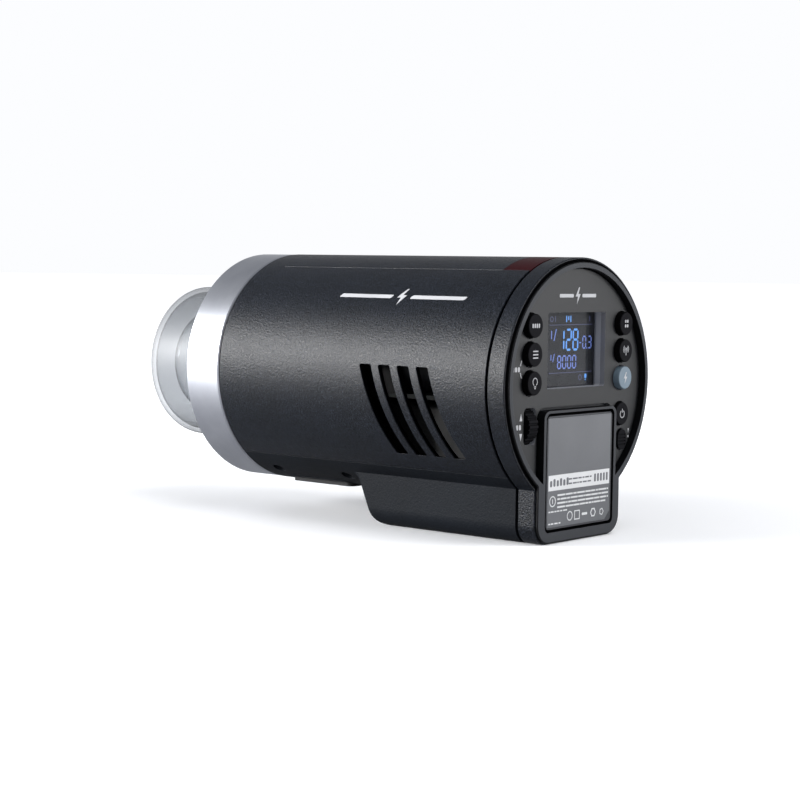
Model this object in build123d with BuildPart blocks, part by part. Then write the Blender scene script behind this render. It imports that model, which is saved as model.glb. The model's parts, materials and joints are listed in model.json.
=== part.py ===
from build123d import *
from math import atan2, cos, pi, radians, sin, sqrt
import os

os.makedirs("parts", exist_ok=True)

# A battery monolight: a barrel with its lamp at the front (-Y), its controls and battery at the rear (+Y)
# and a keel below (-Z) that houses the battery. "Depth" is always counted forward from the rear rim, and
# "height" or "drop" up or down from the barrel's axis. All sizes are in millimetres.

# ---- barrel ----
barrel_radius = 45.0
barrel_length = 138.8  # rear rim to the barrel's front edge
shell_wall = 2.0
split_drop = 32.3  # where the two half shells meet
split_line = 0.3  # width of the visible parting line
split_line_inset = 0.5
slide_gap = 0.1  # between spigots and the bores they slide into

# ---- keel ----
keel_cheek = 4.85  # battery opening to the keel's side
keel_floor = 4.25  # battery opening to the keel's underside
keel_corner = 7.0
keel_toe_gap = 6.2  # battery's front end to the foot of the sloping front
keel_slope_run = 8.5  # how far the front leans forward
keel_neck_radius = 6.0
keel_edge = 1.5
keel_nose_reach = 6.0

# ---- rear bezel and rim ----
bezel_length = 8.3
bezel_setback = 1.1
bezel_edge = 0.25
seam_gap = 1.0
rim_step = 1.65  # barrel's skin to the rim
rim_side_step = 0.7
rim_foot_step = 0.6
rim_corner_step = 0.5
rim_lip = 2.0
rim_edge = 0.3
spigot_length = 5.7
ledge_width = 1.15
ledge_thickness = 1.2

# ---- battery and its bay ----
battery_width = 40.2
battery_height = 40.1
battery_top_drop = 11.0
battery_length = 69.7
battery_setback = 0.3
battery_corner = 1.6
battery_wall = 1.5
battery_frame = 0.6  # visible edge round the label plate
label_thickness = 0.4
label_chamfer = 3.0
slot_gap = 1.05  # round the battery at the rear opening
slot_corner = 2.2
surround_side = 1.3
surround_top = 0.9
surround_corner = 3.0
bay_gap = 0.4
bay_wall = 1.2
cell_radius = 9.0
cell_end_gap = 5.2  # both ends of the cells together
terminal_width = 2.4
terminal_height = 9.0
terminal_depth = 0.5
terminal_pitch = 6.5
terminal_count = 4
guide_height = 6.5
guide_depth = 1.3
guide_wall = 0.8

# ---- control panel ----
panel_recess = 2.6
panel_thickness = 2.0
panel_gap = 0.4  # to the rim's inner wall
panel_surround_gap = 1.0
display_width = 35.6
display_height = 26.9
display_centre_height = 11.85
display_corner = 0.8
well_wall = 1.2
well_depth = 4.8  # panel face down to the display
display_glass_thickness = 0.6
display_module_thickness = 3.4
display_border = 1.0

# ---- push buttons ----
button_radius = 4.2
button_gap = 0.45
button_flange = 0.6
button_flange_thickness = 1.0
button_face_depth = 0.25
power_face_depth = 1.3
button_travel = 0.7
button_rest_gap = 0.4
button_edge = 0.4
plunger_radius = 1.6
button_web = 0.1  # thinnest panel beside the battery surround
button_heights = (21.0, 11.0, 1.0)
power_drop = 12.3
switch_size = 6.0
switch_height = 3.0
switch_tip_radius = 1.5
switch_tip_gap = 0.15
relief_gap = 0.5
board_thickness = 1.6
control_board_gap = 5.0  # to the barrel's bore

# ---- set dial ----
dial_web = 0.75
dial_drop = 14.2
dial_radius = 6.7
dial_width = 5.0
dial_face_depth = 0.6
dial_ribs = 22
dial_rib_depth = 0.45
dial_slot_width = 7.0
dial_slot_height = 13.0
dial_slot_corner = 1.75
dial_axle_radius = 1.0
dial_running_gap = 0.05
dial_side_gap = 0.25
dial_cheek = 0.7
dial_cheek_radius = 3.0
dial_foot_gap = 0.6

# ---- battery release ----
release_web = 2.75
release_drop = 22.0
release_slot_width = 6.2
release_slot_height = 8.4
release_gap = 0.4
release_face_depth = 1.9
release_travel = 1.2
release_ribs = 4
release_rib = 0.4
release_rib_pitch = 1.2
release_rib_margin = 0.8
latch_drop = 20.5
latch_height = 3.2
latch_depth = 15.0
latch_thickness = 2.0
latch_bite = 0.9
latch_reach = 12.9  # battery's side to the outer end of the latch
latch_window_gap = 0.5
cam_gap = 0.35
stem_outer_offset = 2.0  # from the middle of the key
stem_inner_offset = 1.7
stem_tip_gap = 0.4

# ---- vents, sensor window, top lines ----
vent_count = 4
vent_first_depth = 64.4  # top of the foremost slot
vent_pitch = 8.85
vent_width = 5.5
vent_lean = 11.6
vent_top_angle = 7.0
vent_bottom_angle = 36.6
vent_corner = 0.6
vent_steps = 4
sensor_half_width = 20.4
sensor_front_depth = 21.0
sensor_rear_gap = 0.6
sensor_gap = 0.15
line_half_spacing = 20.5
line_front_gap = 10.8
line_width = 0.3
line_depth = 0.3

# ---- front ring, lamp carrier and glass dome ----
ring_step = 0.1  # barrel's skin to the ring
ring_length = 18.8
ring_wall = 3.4
ring_edge = 0.5
ring_gasket = 1.1
ring_gasket_step = 1.2
ring_spigot_length = 6.0
lug_count = 3
lug_arc = 40.0
lug_height = 2.0
lug_thickness = 2.2
lug_angle = 90.0
carrier_inset = 3.2  # ring's rear edge to the carrier
carrier_thickness = 3.0
carrier_gap = 0.1
dome_radius = 31.0
dome_wall = 2.0
dome_corner = 6.0
dome_crown = 150.0
dome_reach = 41.4  # dome tip beyond the ring's front
dome_gasket_wall = 2.2
dome_gasket_height = 3.0
reflector_thickness = 1.5
reflector_gap = 0.6
tube_radius = 3.7
tube_ring_radius = 17.5
tube_tip_gap = 9.0  # ring of the tube to the inside of the dome's tip
tube_leg_angle = 16.0  # half angle between the two legs
tube_elbow = 0.4  # swelling where the ring meets its legs
tube_socket_wall = 1.8
tube_socket_height = 6.0
tube_socket_gap = 0.05
wire_radius = 0.5
led_size = 14.0
led_thickness = 1.6
led_lens_radius = 8.0
led_lens_height = 3.2
led_lens_round = 2.6

# ---- cooling ----
heat_sink_radius = 30.0
heat_sink_base = 4.0
heat_sink_length = 20.0
fin_thickness = 1.4
fin_pitch = 5.2
fin_count = 11
fan_size = 56.0
fan_thickness = 12.0
fan_corner = 5.0
fan_bore_radius = 26.5
fan_hub_radius = 12.0
fan_tip_gap = 1.0
fan_blades = 7
fan_blade_thickness = 1.2
fan_blade_tilt = 38.0
fan_shaft_radius = 1.5
fan_running_gap = 0.05
fan_plate = 1.5
fan_float = 0.7
fan_struts = 3
fan_strut_width = 3.0
fan_strut_start = 30.0
fan_strut_root = 1.25  # into the frame

# ---- electronics ----
board_drop = 4.9  # top face of the power board
board_side_gap = 5.0  # to the barrel's bore
board_rear_depth = 18.0
board_fan_gap = 6.0
rail_thickness = 1.6
rail_overlap = 1.5
rail_length = 10.0
capacitor_radius = 12.0
capacitor_length = 48.0
capacitor_spacing = 25.6
capacitor_depth = 33.0
capacitor_lift = 0.4
capacitor_count = 3
capacitor_edge = 1.0
strap_thickness = 1.0
strap_width = 8.0
transformer_size = (26.0, 15.0, 20.0)
transformer_margin = 1.0
transformer_bobbin = 2.0
transformer_limb = 5.0  # ferrite above and below the winding
transformer_post = 4.0  # core's side to the winding
coil_radius = 6.0
coil_length = 13.0
coil_column = 27.0

# ---- sockets on the left flank ----
socket_bezel_gap = 13.7
jack_height = 9.0
jack_bore_radius = 1.8
jack_nose_radius = 4.0
jack_length = 12.0
jack_setback = 0.5
socket_gap = 0.15
usb_drop = 14.0
usb_width = 9.2
usb_height = 3.4
usb_wall = 0.35
usb_corner = 1.54
usb_length = 7.5

# ---- bracket seat and screws ----
plate_half_width = 13.0
plate_neck_gap = 13.3  # top of the keel's front to the plate
plate_length = 32.0
plate_thickness = 4.0
plate_sink = 0.3  # outer face above the barrel's lowest line
plate_corner = 3.0
plate_gap = 0.2
tray_wall = 2.2
thread_radius = 3.175  # quarter inch thread
insert_radius = 4.6
insert_length = 8.5
insert_flange_radius = 6.4
insert_flange = 1.2
pin_hole_radius = 2.1
pin_hole_offset = 11.0
plate_screw_x = 9.5
plate_screw_y = 12.6
screw_radius = 1.3
screw_head_radius = 2.5
screw_head = 1.6
screw_length = 10.0
screw_cross = 0.625  # width of the cross in a screw head
screw_seat = 2.6  # wall between the parting face and a shell screw's head
boss_radius = 3.5
boss_column = 22.0
boss_neck_gap = 7.3
boss_front_gap = 10.8
boss_height = 8.0

# ---- sizes that follow ----
overall_length = barrel_length + ring_length + dome_reach
slot_half_width = battery_width / 2 + slot_gap
slot_top_drop = battery_top_drop - slot_gap
slot_bottom_drop = battery_top_drop + battery_height + slot_gap
battery_front = battery_setback + battery_length
keel_half_width = slot_half_width + keel_cheek
keel_drop = slot_bottom_drop + keel_floor
keel_toe_depth = battery_front + keel_toe_gap
keel_neck_depth = keel_toe_depth + keel_slope_run
keel_neck_drop = sqrt(barrel_radius**2 - keel_half_width**2)
axis_z = keel_drop
rear_y = overall_length / 2
rim_radius = barrel_radius - rim_step
rim_half_width = keel_half_width - rim_side_step
rim_drop = keel_drop - rim_foot_step
rim_corner = keel_corner - rim_corner_step
bore_radius = barrel_radius - shell_wall
shell_rear = bezel_length + seam_gap
shell_length = barrel_length - shell_rear
ring_front = barrel_length + ring_length
panel_radius = rim_radius - rim_lip
panel_back = panel_recess + panel_thickness
line_front_depth = barrel_length - line_front_gap
ring_radius = barrel_radius - ring_step
ring_gasket_radius = barrel_radius - ring_gasket_step
carrier_depth = barrel_length + carrier_inset
tube_ring_depth = overall_length - dome_wall - tube_tip_gap
control_board_radius = bore_radius - control_board_gap
surround_half_width = slot_half_width + surround_side
surround_top_drop = slot_top_drop - surround_top
panel_cut_half_width = surround_half_width + panel_surround_gap
button_column = panel_cut_half_width + button_web + button_radius + button_gap
dial_column = panel_cut_half_width + dial_web + dial_slot_width / 2
release_column = panel_cut_half_width + release_web + release_slot_width / 2
latch_end = battery_width / 2 + latch_reach
stem_outer = release_column + stem_outer_offset
stem_inner = release_column - stem_inner_offset
spigot_end = bezel_length + spigot_length
bay_half_width = battery_width / 2 + bay_gap
bay_top_drop = battery_top_drop - bay_gap
bay_bottom_drop = battery_top_drop + battery_height + bay_gap
bay_end = battery_front + bay_gap
battery_centre_drop = battery_top_drop + battery_height / 2
button_flange_depth = panel_back + button_rest_gap
display_depth = panel_recess + well_depth
control_board_depth = display_depth + display_module_thickness
switch_tip_depth = control_board_depth - switch_height - switch_tip_gap
dial_centre_depth = dial_face_depth + dial_radius
carrier_front = carrier_depth + carrier_thickness
heat_sink_depth = carrier_depth - heat_sink_base - heat_sink_length
fan_depth = heat_sink_depth - fan_thickness
fan_rotor_radius = fan_bore_radius - fan_tip_gap
board_half_width = bore_radius - board_side_gap
board_front_depth = fan_depth - board_fan_gap
transformer_depth = board_front_depth - transformer_size[1] - transformer_margin
capacitor_height = capacitor_radius + capacitor_lift - board_drop
plate_proud = barrel_radius - plate_sink
plate_centre_depth = keel_neck_depth + plate_neck_gap + plate_length / 2
boss_depths = (keel_neck_depth + boss_neck_gap, barrel_length - boss_front_gap)
socket_depth = bezel_length + socket_bezel_gap

barrel_axis = Axis((0, 0, axis_z), (0, 1, 0))
side = Plane(origin=(0, rear_y, axis_z), x_dir=(0, -1, 0), z_dir=(-1, 0, 0))  # local (depth, height)


def cross(depth):
    """Plane across the barrel; its sketches are (x, height) and extrude forward."""
    return Plane(origin=(0, rear_y - depth, axis_z), x_dir=(1, 0, 0), z_dir=(0, -1, 0))


def plan(height):
    """Level plane; its sketches are (x, depth) and extrude downward."""
    return Plane(origin=(0, rear_y, axis_z + height), x_dir=(1, 0, 0), z_dir=(0, 0, -1))


def flank(depth, height, reach):
    """Plane facing into the left flank at a distance from the axis; it extrudes inward (+X)."""
    return Plane(origin=(-reach, rear_y - depth, axis_z + height), x_dir=(0, -1, 0), z_dir=(1, 0, 0))


def body_outline(radius, half_width, drop, corner):
    """Add the barrel's circle and the keel's square below it to the open sketch."""
    Circle(radius)
    with Locations((0, -drop / 2)):
        RectangleRounded(2 * half_width, drop, corner)


def down_box(half_width, top_drop, bottom_drop, corner, mode=Mode.ADD):
    """Add a rounded rectangle that hangs between two drops below the axis."""
    with Locations((0, -(top_drop + bottom_drop) / 2)):
        RectangleRounded(2 * half_width, bottom_drop - top_drop, corner, mode=mode)


def keel_block(inset, rear_depth):
    """The keel as one block, drawn in by a wall thickness, from a depth to its sloping nose."""
    with BuildPart() as block:
        with BuildSketch(side) as profile:
            with BuildLine():
                Polyline(
                    (rear_depth - inset, inset),
                    (rear_depth - inset, -keel_drop),
                    (keel_toe_depth, -keel_drop),
                    (keel_neck_depth, -keel_neck_drop),
                    (keel_neck_depth + keel_nose_reach + inset, -keel_neck_drop),
                    (keel_neck_depth + keel_nose_reach + inset, inset),
                    close=True,
                )
            make_face()
            fillet(profile.vertices().sort_by_distance((keel_toe_depth, -keel_drop))[0], keel_corner)
            fillet(
                profile.vertices().sort_by_distance((keel_neck_depth, -keel_neck_drop))[0], keel_neck_radius
            )
            if inset:
                offset(amount=-inset, kind=Kind.INTERSECTION)
        extrude(amount=keel_half_width - inset, both=True)
        with BuildSketch(cross(rear_depth - inset)):
            down_box(keel_half_width - inset, -barrel_radius, keel_drop - inset, keel_corner - inset)
        extrude(amount=barrel_length, mode=Mode.INTERSECT)
        nose = block.edges().filter_by_position(Axis.Y, -barrel_length, rear_y - keel_toe_depth + keel_corner)
        if not inset:
            fillet([e for e in nose if e.length > keel_corner and abs(e.center().X) > keel_corner], keel_edge)
    return block.part


def screw_bosses(low_height, high_height):
    """Four screw columns with webs out to the barrel wall, trimmed to the inside of the wall."""
    wall_middle = barrel_radius - shell_wall / 2
    with BuildPart() as bosses:
        with BuildSketch(plan(high_height)):
            for depth in boss_depths:
                for sign in (-1, 1):
                    with Locations((sign * boss_column, depth)):
                        Circle(boss_radius)
                    with Locations((sign * (boss_column + barrel_radius / 2), depth)):
                        Rectangle(barrel_radius, boss_radius)
        extrude(amount=high_height - low_height)
        with BuildSketch(cross(shell_rear)):
            Circle(wall_middle)
        extrude(amount=shell_length, mode=Mode.INTERSECT)
    return bosses.part


upper_bosses = screw_bosses(-split_drop, -split_drop + boss_height)
lower_bosses = screw_bosses(-barrel_radius, -split_drop)
keel_outside = keel_block(0, shell_rear)
keel_inside = keel_block(shell_wall, shell_rear - keel_corner)


# ---------------------------------------------------------------- shells
def vent_edge(top_depth):
    """Points down one edge of a vent slot, which is straight on the barrel's unrolled skin."""
    points = []
    for step in range(vent_steps + 1):
        share = step / vent_steps
        angle = radians(vent_top_angle - share * (vent_top_angle + vent_bottom_angle))
        points.append((top_depth - share * vent_lean, barrel_radius * sin(angle)))
    return points


with BuildPart() as upper_shell:
    with BuildSketch(cross(shell_rear)):
        Circle(barrel_radius)
        Circle(bore_radius, mode=Mode.SUBTRACT)
        with Locations((0, -split_drop)):
            Rectangle(
                2 * barrel_radius, barrel_radius, align=(Align.CENTER, Align.MAX), mode=Mode.SUBTRACT
            )
    extrude(amount=shell_length)
    add(upper_bosses)
    # screw pilot holes
    with BuildSketch(plan(-split_drop + boss_height)):
        for depth in boss_depths:
            with Locations((-boss_column, depth), (boss_column, depth)):
                Circle(screw_radius)
    extrude(amount=boss_height, mode=Mode.SUBTRACT)
    # rails that carry the power board
    for depth in (board_rear_depth, board_front_depth - rail_length):
        with BuildSketch(cross(depth)):
            for sign in (-1, 1):
                with Locations((sign * (board_half_width - rail_overlap), -board_drop - board_thickness)):
                    outward = Align.MIN if sign > 0 else Align.MAX
                    Rectangle(barrel_radius, rail_thickness, align=(outward, Align.MAX))
            Circle(barrel_radius - shell_wall / 2, mode=Mode.INTERSECT)
        extrude(amount=rail_length)
    # slanting vent slots, the same on both flanks
    with BuildSketch(side) as vents:
        for number in range(vent_count):
            top_depth = vent_first_depth - number * vent_pitch
            with BuildLine():
                front_edge = Spline(*vent_edge(top_depth + vent_width / 2))
                rear_edge = Spline(*vent_edge(top_depth - vent_width / 2))
                Line(front_edge @ 0, rear_edge @ 0)
                Line(front_edge @ 1, rear_edge @ 1)
            make_face()
        fillet(vents.vertices(), vent_corner)
    extrude(amount=barrel_radius, both=True, mode=Mode.SUBTRACT)
    # notch for the sensor window
    with BuildSketch(cross(shell_rear)):
        with Locations((0, barrel_radius)):
            Rectangle(2 * sensor_half_width, barrel_radius)
    extrude(amount=sensor_front_depth - shell_rear, mode=Mode.SUBTRACT)
    # two fine lines along the top
    line_height = sqrt(barrel_radius**2 - line_half_spacing**2)
    with BuildSketch(cross(sensor_front_depth)):
        with Locations((-line_half_spacing, line_height), (line_half_spacing, line_height)):
            Rectangle(line_width, 2 * line_depth)
    extrude(amount=line_front_depth - sensor_front_depth, mode=Mode.SUBTRACT)
    # holes for the sockets on the left flank
    with BuildSketch(flank(socket_depth, jack_height, barrel_radius)):
        Circle(jack_nose_radius + socket_gap)
    extrude(amount=jack_length, mode=Mode.SUBTRACT)
    with BuildSketch(flank(socket_depth, -usb_drop, barrel_radius)):
        RectangleRounded(usb_width + 2 * socket_gap, usb_height + 2 * socket_gap, usb_corner + socket_gap)
    extrude(amount=usb_length, mode=Mode.SUBTRACT)

with BuildPart() as lower_shell:
    add(keel_outside)
    with BuildSketch(cross(shell_rear)):
        Circle(barrel_radius)
    extrude(amount=shell_length)
    with BuildSketch(cross(shell_rear)):
        Circle(bore_radius)
    extrude(amount=shell_length, mode=Mode.SUBTRACT)
    add(keel_inside, mode=Mode.SUBTRACT)
    split(bisect_by=Plane.XY.offset(axis_z - split_drop), keep=Keep.BOTTOM)
    add(lower_bosses)
    # tray that backs the bracket plate
    tray_floor = plate_proud - plate_thickness
    with BuildSketch(plan(-tray_floor + tray_wall)):
        with Locations((0, plate_centre_depth)):
            RectangleRounded(
                2 * (plate_half_width + tray_wall), plate_length + 2 * tray_wall, plate_corner + tray_wall
            )
    extrude(amount=tray_wall + plate_thickness - shell_wall)
    with BuildSketch(plan(-tray_floor)):
        with Locations((0, plate_centre_depth)):
            RectangleRounded(
                2 * (plate_half_width + plate_gap), plate_length + 2 * plate_gap, plate_corner + plate_gap
            )
    extrude(amount=barrel_radius, mode=Mode.SUBTRACT)
    with BuildSketch(plan(0)):
        with Locations((0, plate_centre_depth)):
            Circle(insert_radius)
            with GridLocations(2 * plate_screw_x, 2 * plate_screw_y, 2, 2):
                Circle(screw_radius)
    extrude(amount=barrel_radius, mode=Mode.SUBTRACT)
    # counterbored holes for the shell screws
    for depth in boss_depths:
        with BuildSketch(plan(-split_drop)):
            with Locations((-boss_column, depth), (boss_column, depth)):
                Circle(screw_radius)
        extrude(amount=barrel_radius, mode=Mode.SUBTRACT)
        with BuildSketch(plan(-split_drop - screw_seat)):
            with Locations((-boss_column, depth), (boss_column, depth)):
                Circle(screw_head_radius + slide_gap)
        extrude(amount=barrel_radius, mode=Mode.SUBTRACT)
    # parting line: the outer edge of the joint is cut back
    with BuildSketch(plan(-split_drop)):
        with Locations((0, shell_rear + shell_length / 2)):
            Rectangle(2 * overall_length, 2 * overall_length)
            Rectangle(
                2 * (sqrt(barrel_radius**2 - split_drop**2) - split_line_inset),
                2 * overall_length,
                mode=Mode.SUBTRACT,
            )
    extrude(amount=split_line, mode=Mode.SUBTRACT)

with BuildPart() as sensor_window:
    with BuildSketch(cross(shell_rear - seam_gap + sensor_rear_gap)):
        Circle(barrel_radius)
        Circle(bore_radius, mode=Mode.SUBTRACT)
        with Locations((0, barrel_radius)):
            Rectangle(2 * (sensor_half_width - sensor_gap), barrel_radius, mode=Mode.INTERSECT)
    extrude(amount=sensor_front_depth - sensor_gap - bezel_length - sensor_rear_gap)


# ---------------------------------------------------------------- rear bezel, rim and panel
with BuildPart() as rear_bezel:
    with BuildSketch(cross(bezel_setback)):
        body_outline(barrel_radius, keel_half_width, keel_drop, keel_corner)
    extrude(amount=bezel_length - bezel_setback)
    front_face, *_, rear_face = rear_bezel.faces().sort_by(Axis.Y)
    chamfer(front_face.edges() + rear_face.edges(), bezel_edge)
    with BuildSketch(cross(0)):
        body_outline(rim_radius, rim_half_width, rim_drop, rim_corner)
    extrude(amount=bezel_length, mode=Mode.SUBTRACT)

with BuildPart() as rear_frame:
    with BuildSketch(cross(0)):
        body_outline(rim_radius, rim_half_width, rim_drop, rim_corner)
    extrude(amount=bezel_length)
    chamfer(rear_frame.faces().sort_by(Axis.Y)[-1].edges(), rim_edge)
    with BuildSketch(cross(bezel_length)):
        body_outline(
            bore_radius - slide_gap,
            keel_half_width - shell_wall - slide_gap,
            keel_drop - shell_wall - slide_gap,
            keel_corner - shell_wall - slide_gap,
        )
    extrude(amount=spigot_length)
    # recess for the panel, with a narrow ledge behind it
    for start, end, ledge in (
        (0, panel_back, 0),
        (panel_back, panel_back + ledge_thickness, ledge_width),
        (panel_back + ledge_thickness, spigot_end, 0),
    ):
        with BuildSketch(cross(start)):
            Circle(panel_radius - ledge)
            down_box(
                surround_half_width + ledge,
                surround_top_drop - ledge,
                2 * keel_drop,
                surround_corner + ledge,
                mode=Mode.SUBTRACT,
            )
        extrude(amount=end - start, mode=Mode.SUBTRACT)
    # relief in the ledge behind each control near the rim
    with BuildSketch(cross(panel_back)):
        with Locations(*[(sign * button_column, h) for sign in (-1, 1) for h in button_heights]):
            Circle(button_radius + button_flange + relief_gap)
        with Locations((-button_column, -power_drop)):
            Circle(button_radius + button_flange + relief_gap)
        with Locations((-release_column, -release_drop)):
            SlotOverall(
                release_slot_height + 2 * relief_gap, release_slot_width + 2 * relief_gap, rotation=90
            )
        Circle(panel_radius, mode=Mode.INTERSECT)
        down_box(surround_half_width, surround_top_drop, 2 * keel_drop, surround_corner, mode=Mode.SUBTRACT)
    extrude(amount=ledge_thickness, mode=Mode.SUBTRACT)
    # battery opening
    with BuildSketch(cross(0)):
        down_box(slot_half_width, slot_top_drop, slot_bottom_drop, slot_corner)
    extrude(amount=spigot_end, mode=Mode.SUBTRACT)

with BuildPart() as control_panel:
    with BuildSketch(cross(panel_recess)):
        Circle(panel_radius - panel_gap)
        down_box(
            panel_cut_half_width,
            surround_top_drop - panel_surround_gap,
            2 * keel_drop,
            surround_corner + panel_surround_gap,
            mode=Mode.SUBTRACT,
        )
        with Locations((0, display_centre_height)):
            RectangleRounded(display_width, display_height, display_corner, mode=Mode.SUBTRACT)
        with Locations(*[(sign * button_column, h) for sign in (-1, 1) for h in button_heights]):
            Circle(button_radius + button_gap, mode=Mode.SUBTRACT)
        with Locations((-button_column, -power_drop)):
            Circle(button_radius + button_gap, mode=Mode.SUBTRACT)
        with Locations((-release_column, -release_drop)):
            SlotOverall(release_slot_height, release_slot_width, rotation=90, mode=Mode.SUBTRACT)
        with Locations((dial_column, -dial_drop)):
            RectangleRounded(dial_slot_width, dial_slot_height, dial_slot_corner, mode=Mode.SUBTRACT)
    extrude(amount=panel_thickness)

# ---------------------------------------------------------------- display
with BuildPart() as display_well:
    with BuildSketch(cross(panel_back)):
        with Locations((0, display_centre_height)):
            Rectangle(display_width + 2 * well_wall, display_height + 2 * well_wall)
            RectangleRounded(display_width, display_height, display_corner, mode=Mode.SUBTRACT)
    extrude(amount=display_depth - panel_back)

with BuildPart() as display_glass:
    with BuildSketch(cross(display_depth - display_glass_thickness)):
        with Locations((0, display_centre_height)):
            RectangleRounded(display_width, display_height, display_corner)
    extrude(amount=display_glass_thickness)

with BuildPart() as display_module:
    with BuildSketch(cross(display_depth)):
        with Locations((0, display_centre_height)):
            Rectangle(display_width + 2 * display_border, display_height + 2 * display_border)
    extrude(amount=display_module_thickness)

with BuildPart() as control_board:
    with BuildSketch(cross(control_board_depth)):
        Circle(control_board_radius)
        down_box(
            surround_half_width + ledge_width,
            surround_top_drop - ledge_width,
            2 * keel_drop,
            surround_corner,
            mode=Mode.SUBTRACT,
        )
        with Locations((dial_column, -dial_drop)):
            Rectangle(
                barrel_radius, 2 * (dial_radius + dial_foot_gap), align=Align.CENTER, mode=Mode.SUBTRACT
            )
        with Locations((0, -release_drop + release_slot_height / 2 + relief_gap)):
            Rectangle(
                2 * barrel_radius, barrel_radius, align=(Align.CENTER, Align.MAX), mode=Mode.SUBTRACT
            )
    extrude(amount=board_thickness)


# ---------------------------------------------------------------- push buttons and their switches
def push_button(column, height, face_depth):
    """A round key with a flange behind the panel and a plunger that meets its switch."""
    with BuildPart() as key:
        with BuildSketch(cross(face_depth)):
            with Locations((column, height)):
                Circle(button_radius)
        extrude(amount=button_flange_depth - face_depth)
        fillet(key.faces().sort_by(Axis.Y)[-1].edges(), button_edge)
        with BuildSketch(cross(button_flange_depth)):
            with Locations((column, height)):
                Circle(button_radius + button_flange)
        extrude(amount=button_flange_thickness)
        with BuildSketch(cross(button_flange_depth + button_flange_thickness)):
            with Locations((column, height)):
                Circle(plunger_radius)
        extrude(
            amount=switch_tip_depth - button_travel - button_flange_depth - button_flange_thickness
        )
    return key


mode_button = push_button(button_column, button_heights[0], button_face_depth)
menu_button = push_button(button_column, button_heights[1], button_face_depth)
lamp_button = push_button(button_column, button_heights[2], button_face_depth)
group_button = push_button(-button_column, button_heights[0], button_face_depth)
wireless_button = push_button(-button_column, button_heights[1], button_face_depth)
test_button = push_button(-button_column, button_heights[2], button_face_depth)
power_button = push_button(-button_column, -power_drop, power_face_depth)

with BuildPart() as key_switches:
    places = [(sign * button_column, h) for sign in (-1, 1) for h in button_heights]
    places.append((-button_column, -power_drop))
    with BuildSketch(cross(control_board_depth - switch_height)):
        with Locations(*places):
            Rectangle(switch_size, switch_size)
    extrude(amount=switch_height)
    with BuildSketch(cross(switch_tip_depth)):
        with Locations(*places):
            Circle(switch_tip_radius)
    extrude(amount=switch_tip_gap)

# ---------------------------------------------------------------- set dial on its pressing carriage
dial_plane = Plane(
    origin=(dial_column - dial_width / 2, rear_y - dial_centre_depth, axis_z - dial_drop), z_dir=(1, 0, 0)
)
cheek_reach = dial_width / 2 + dial_side_gap
foot_depth = dial_centre_depth + dial_radius + dial_foot_gap

with BuildPart() as set_dial:
    with BuildSketch(dial_plane):
        Circle(dial_radius)
        with PolarLocations(dial_radius, dial_ribs):
            Circle(dial_rib_depth, mode=Mode.SUBTRACT)
        Circle(dial_axle_radius + dial_running_gap, mode=Mode.SUBTRACT)
    extrude(amount=dial_width)

with BuildPart() as dial_axle:
    with BuildSketch(dial_plane.offset(-dial_side_gap - dial_cheek)):
        Circle(dial_axle_radius)
    extrude(amount=dial_width + 2 * (dial_side_gap + dial_cheek))

with BuildPart() as dial_carriage:
    for start in (-dial_side_gap - dial_cheek, dial_width + dial_side_gap):
        with BuildSketch(dial_plane.offset(start)) as cheek:
            Circle(dial_cheek_radius)
        extrude(amount=dial_cheek)
        with BuildSketch(
            Plane(
                origin=(dial_column - dial_width / 2 + start, rear_y - dial_centre_depth, axis_z - dial_drop),
                x_dir=(0, -1, 0),
                z_dir=(1, 0, 0),
            )
        ):
            Rectangle(
                foot_depth - dial_centre_depth, 2 * dial_cheek_radius, align=(Align.MIN, Align.CENTER)
            )
        extrude(amount=dial_cheek)
    with BuildSketch(cross(foot_depth)):
        with Locations((dial_column, -dial_drop)):
            Rectangle(2 * (cheek_reach + dial_cheek), 2 * dial_cheek_radius)
    extrude(amount=board_thickness)
    with BuildSketch(dial_plane.offset(-barrel_radius)):
        Circle(dial_axle_radius)
    extrude(amount=2 * barrel_radius, mode=Mode.SUBTRACT)

# ---------------------------------------------------------------- battery release and latch
stem_tip_depth = latch_depth - release_travel - stem_tip_gap
cam_corner = stem_outer - stem_inner - 2 * cam_gap
with BuildPart() as release_button:
    with BuildSketch(cross(release_face_depth)):
        with Locations((-release_column, -release_drop)):
            SlotOverall(
                release_slot_height - 2 * release_gap, release_slot_width - 2 * release_gap, rotation=90
            )
    extrude(amount=panel_back + button_rest_gap - release_face_depth)
    with BuildSketch(cross(release_face_depth)):
        with Locations((-release_column, -release_drop)):
            with GridLocations(0, release_rib_pitch, 1, release_ribs):
                Rectangle(release_slot_width - 2 * release_rib_margin, release_rib)
    extrude(amount=release_rib, mode=Mode.SUBTRACT)
    with BuildSketch(cross(button_flange_depth)):
        with Locations((-release_column, -release_drop)):
            SlotOverall(
                release_slot_height + button_flange, release_slot_width + button_flange, rotation=90
            )
    extrude(amount=button_flange_thickness)
    # stem with a sloping corner that cams the latch outward
    with BuildSketch(plan(-latch_drop + latch_height / 2)):
        with BuildLine():
            Polyline(
                (-stem_inner, button_flange_depth),
                (-stem_inner, stem_tip_depth),
                (-stem_outer + cam_corner, stem_tip_depth),
                (-stem_outer, stem_tip_depth - cam_corner),
                (-stem_outer, button_flange_depth),
                close=True,
            )
        make_face()
    extrude(amount=latch_height)

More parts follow.
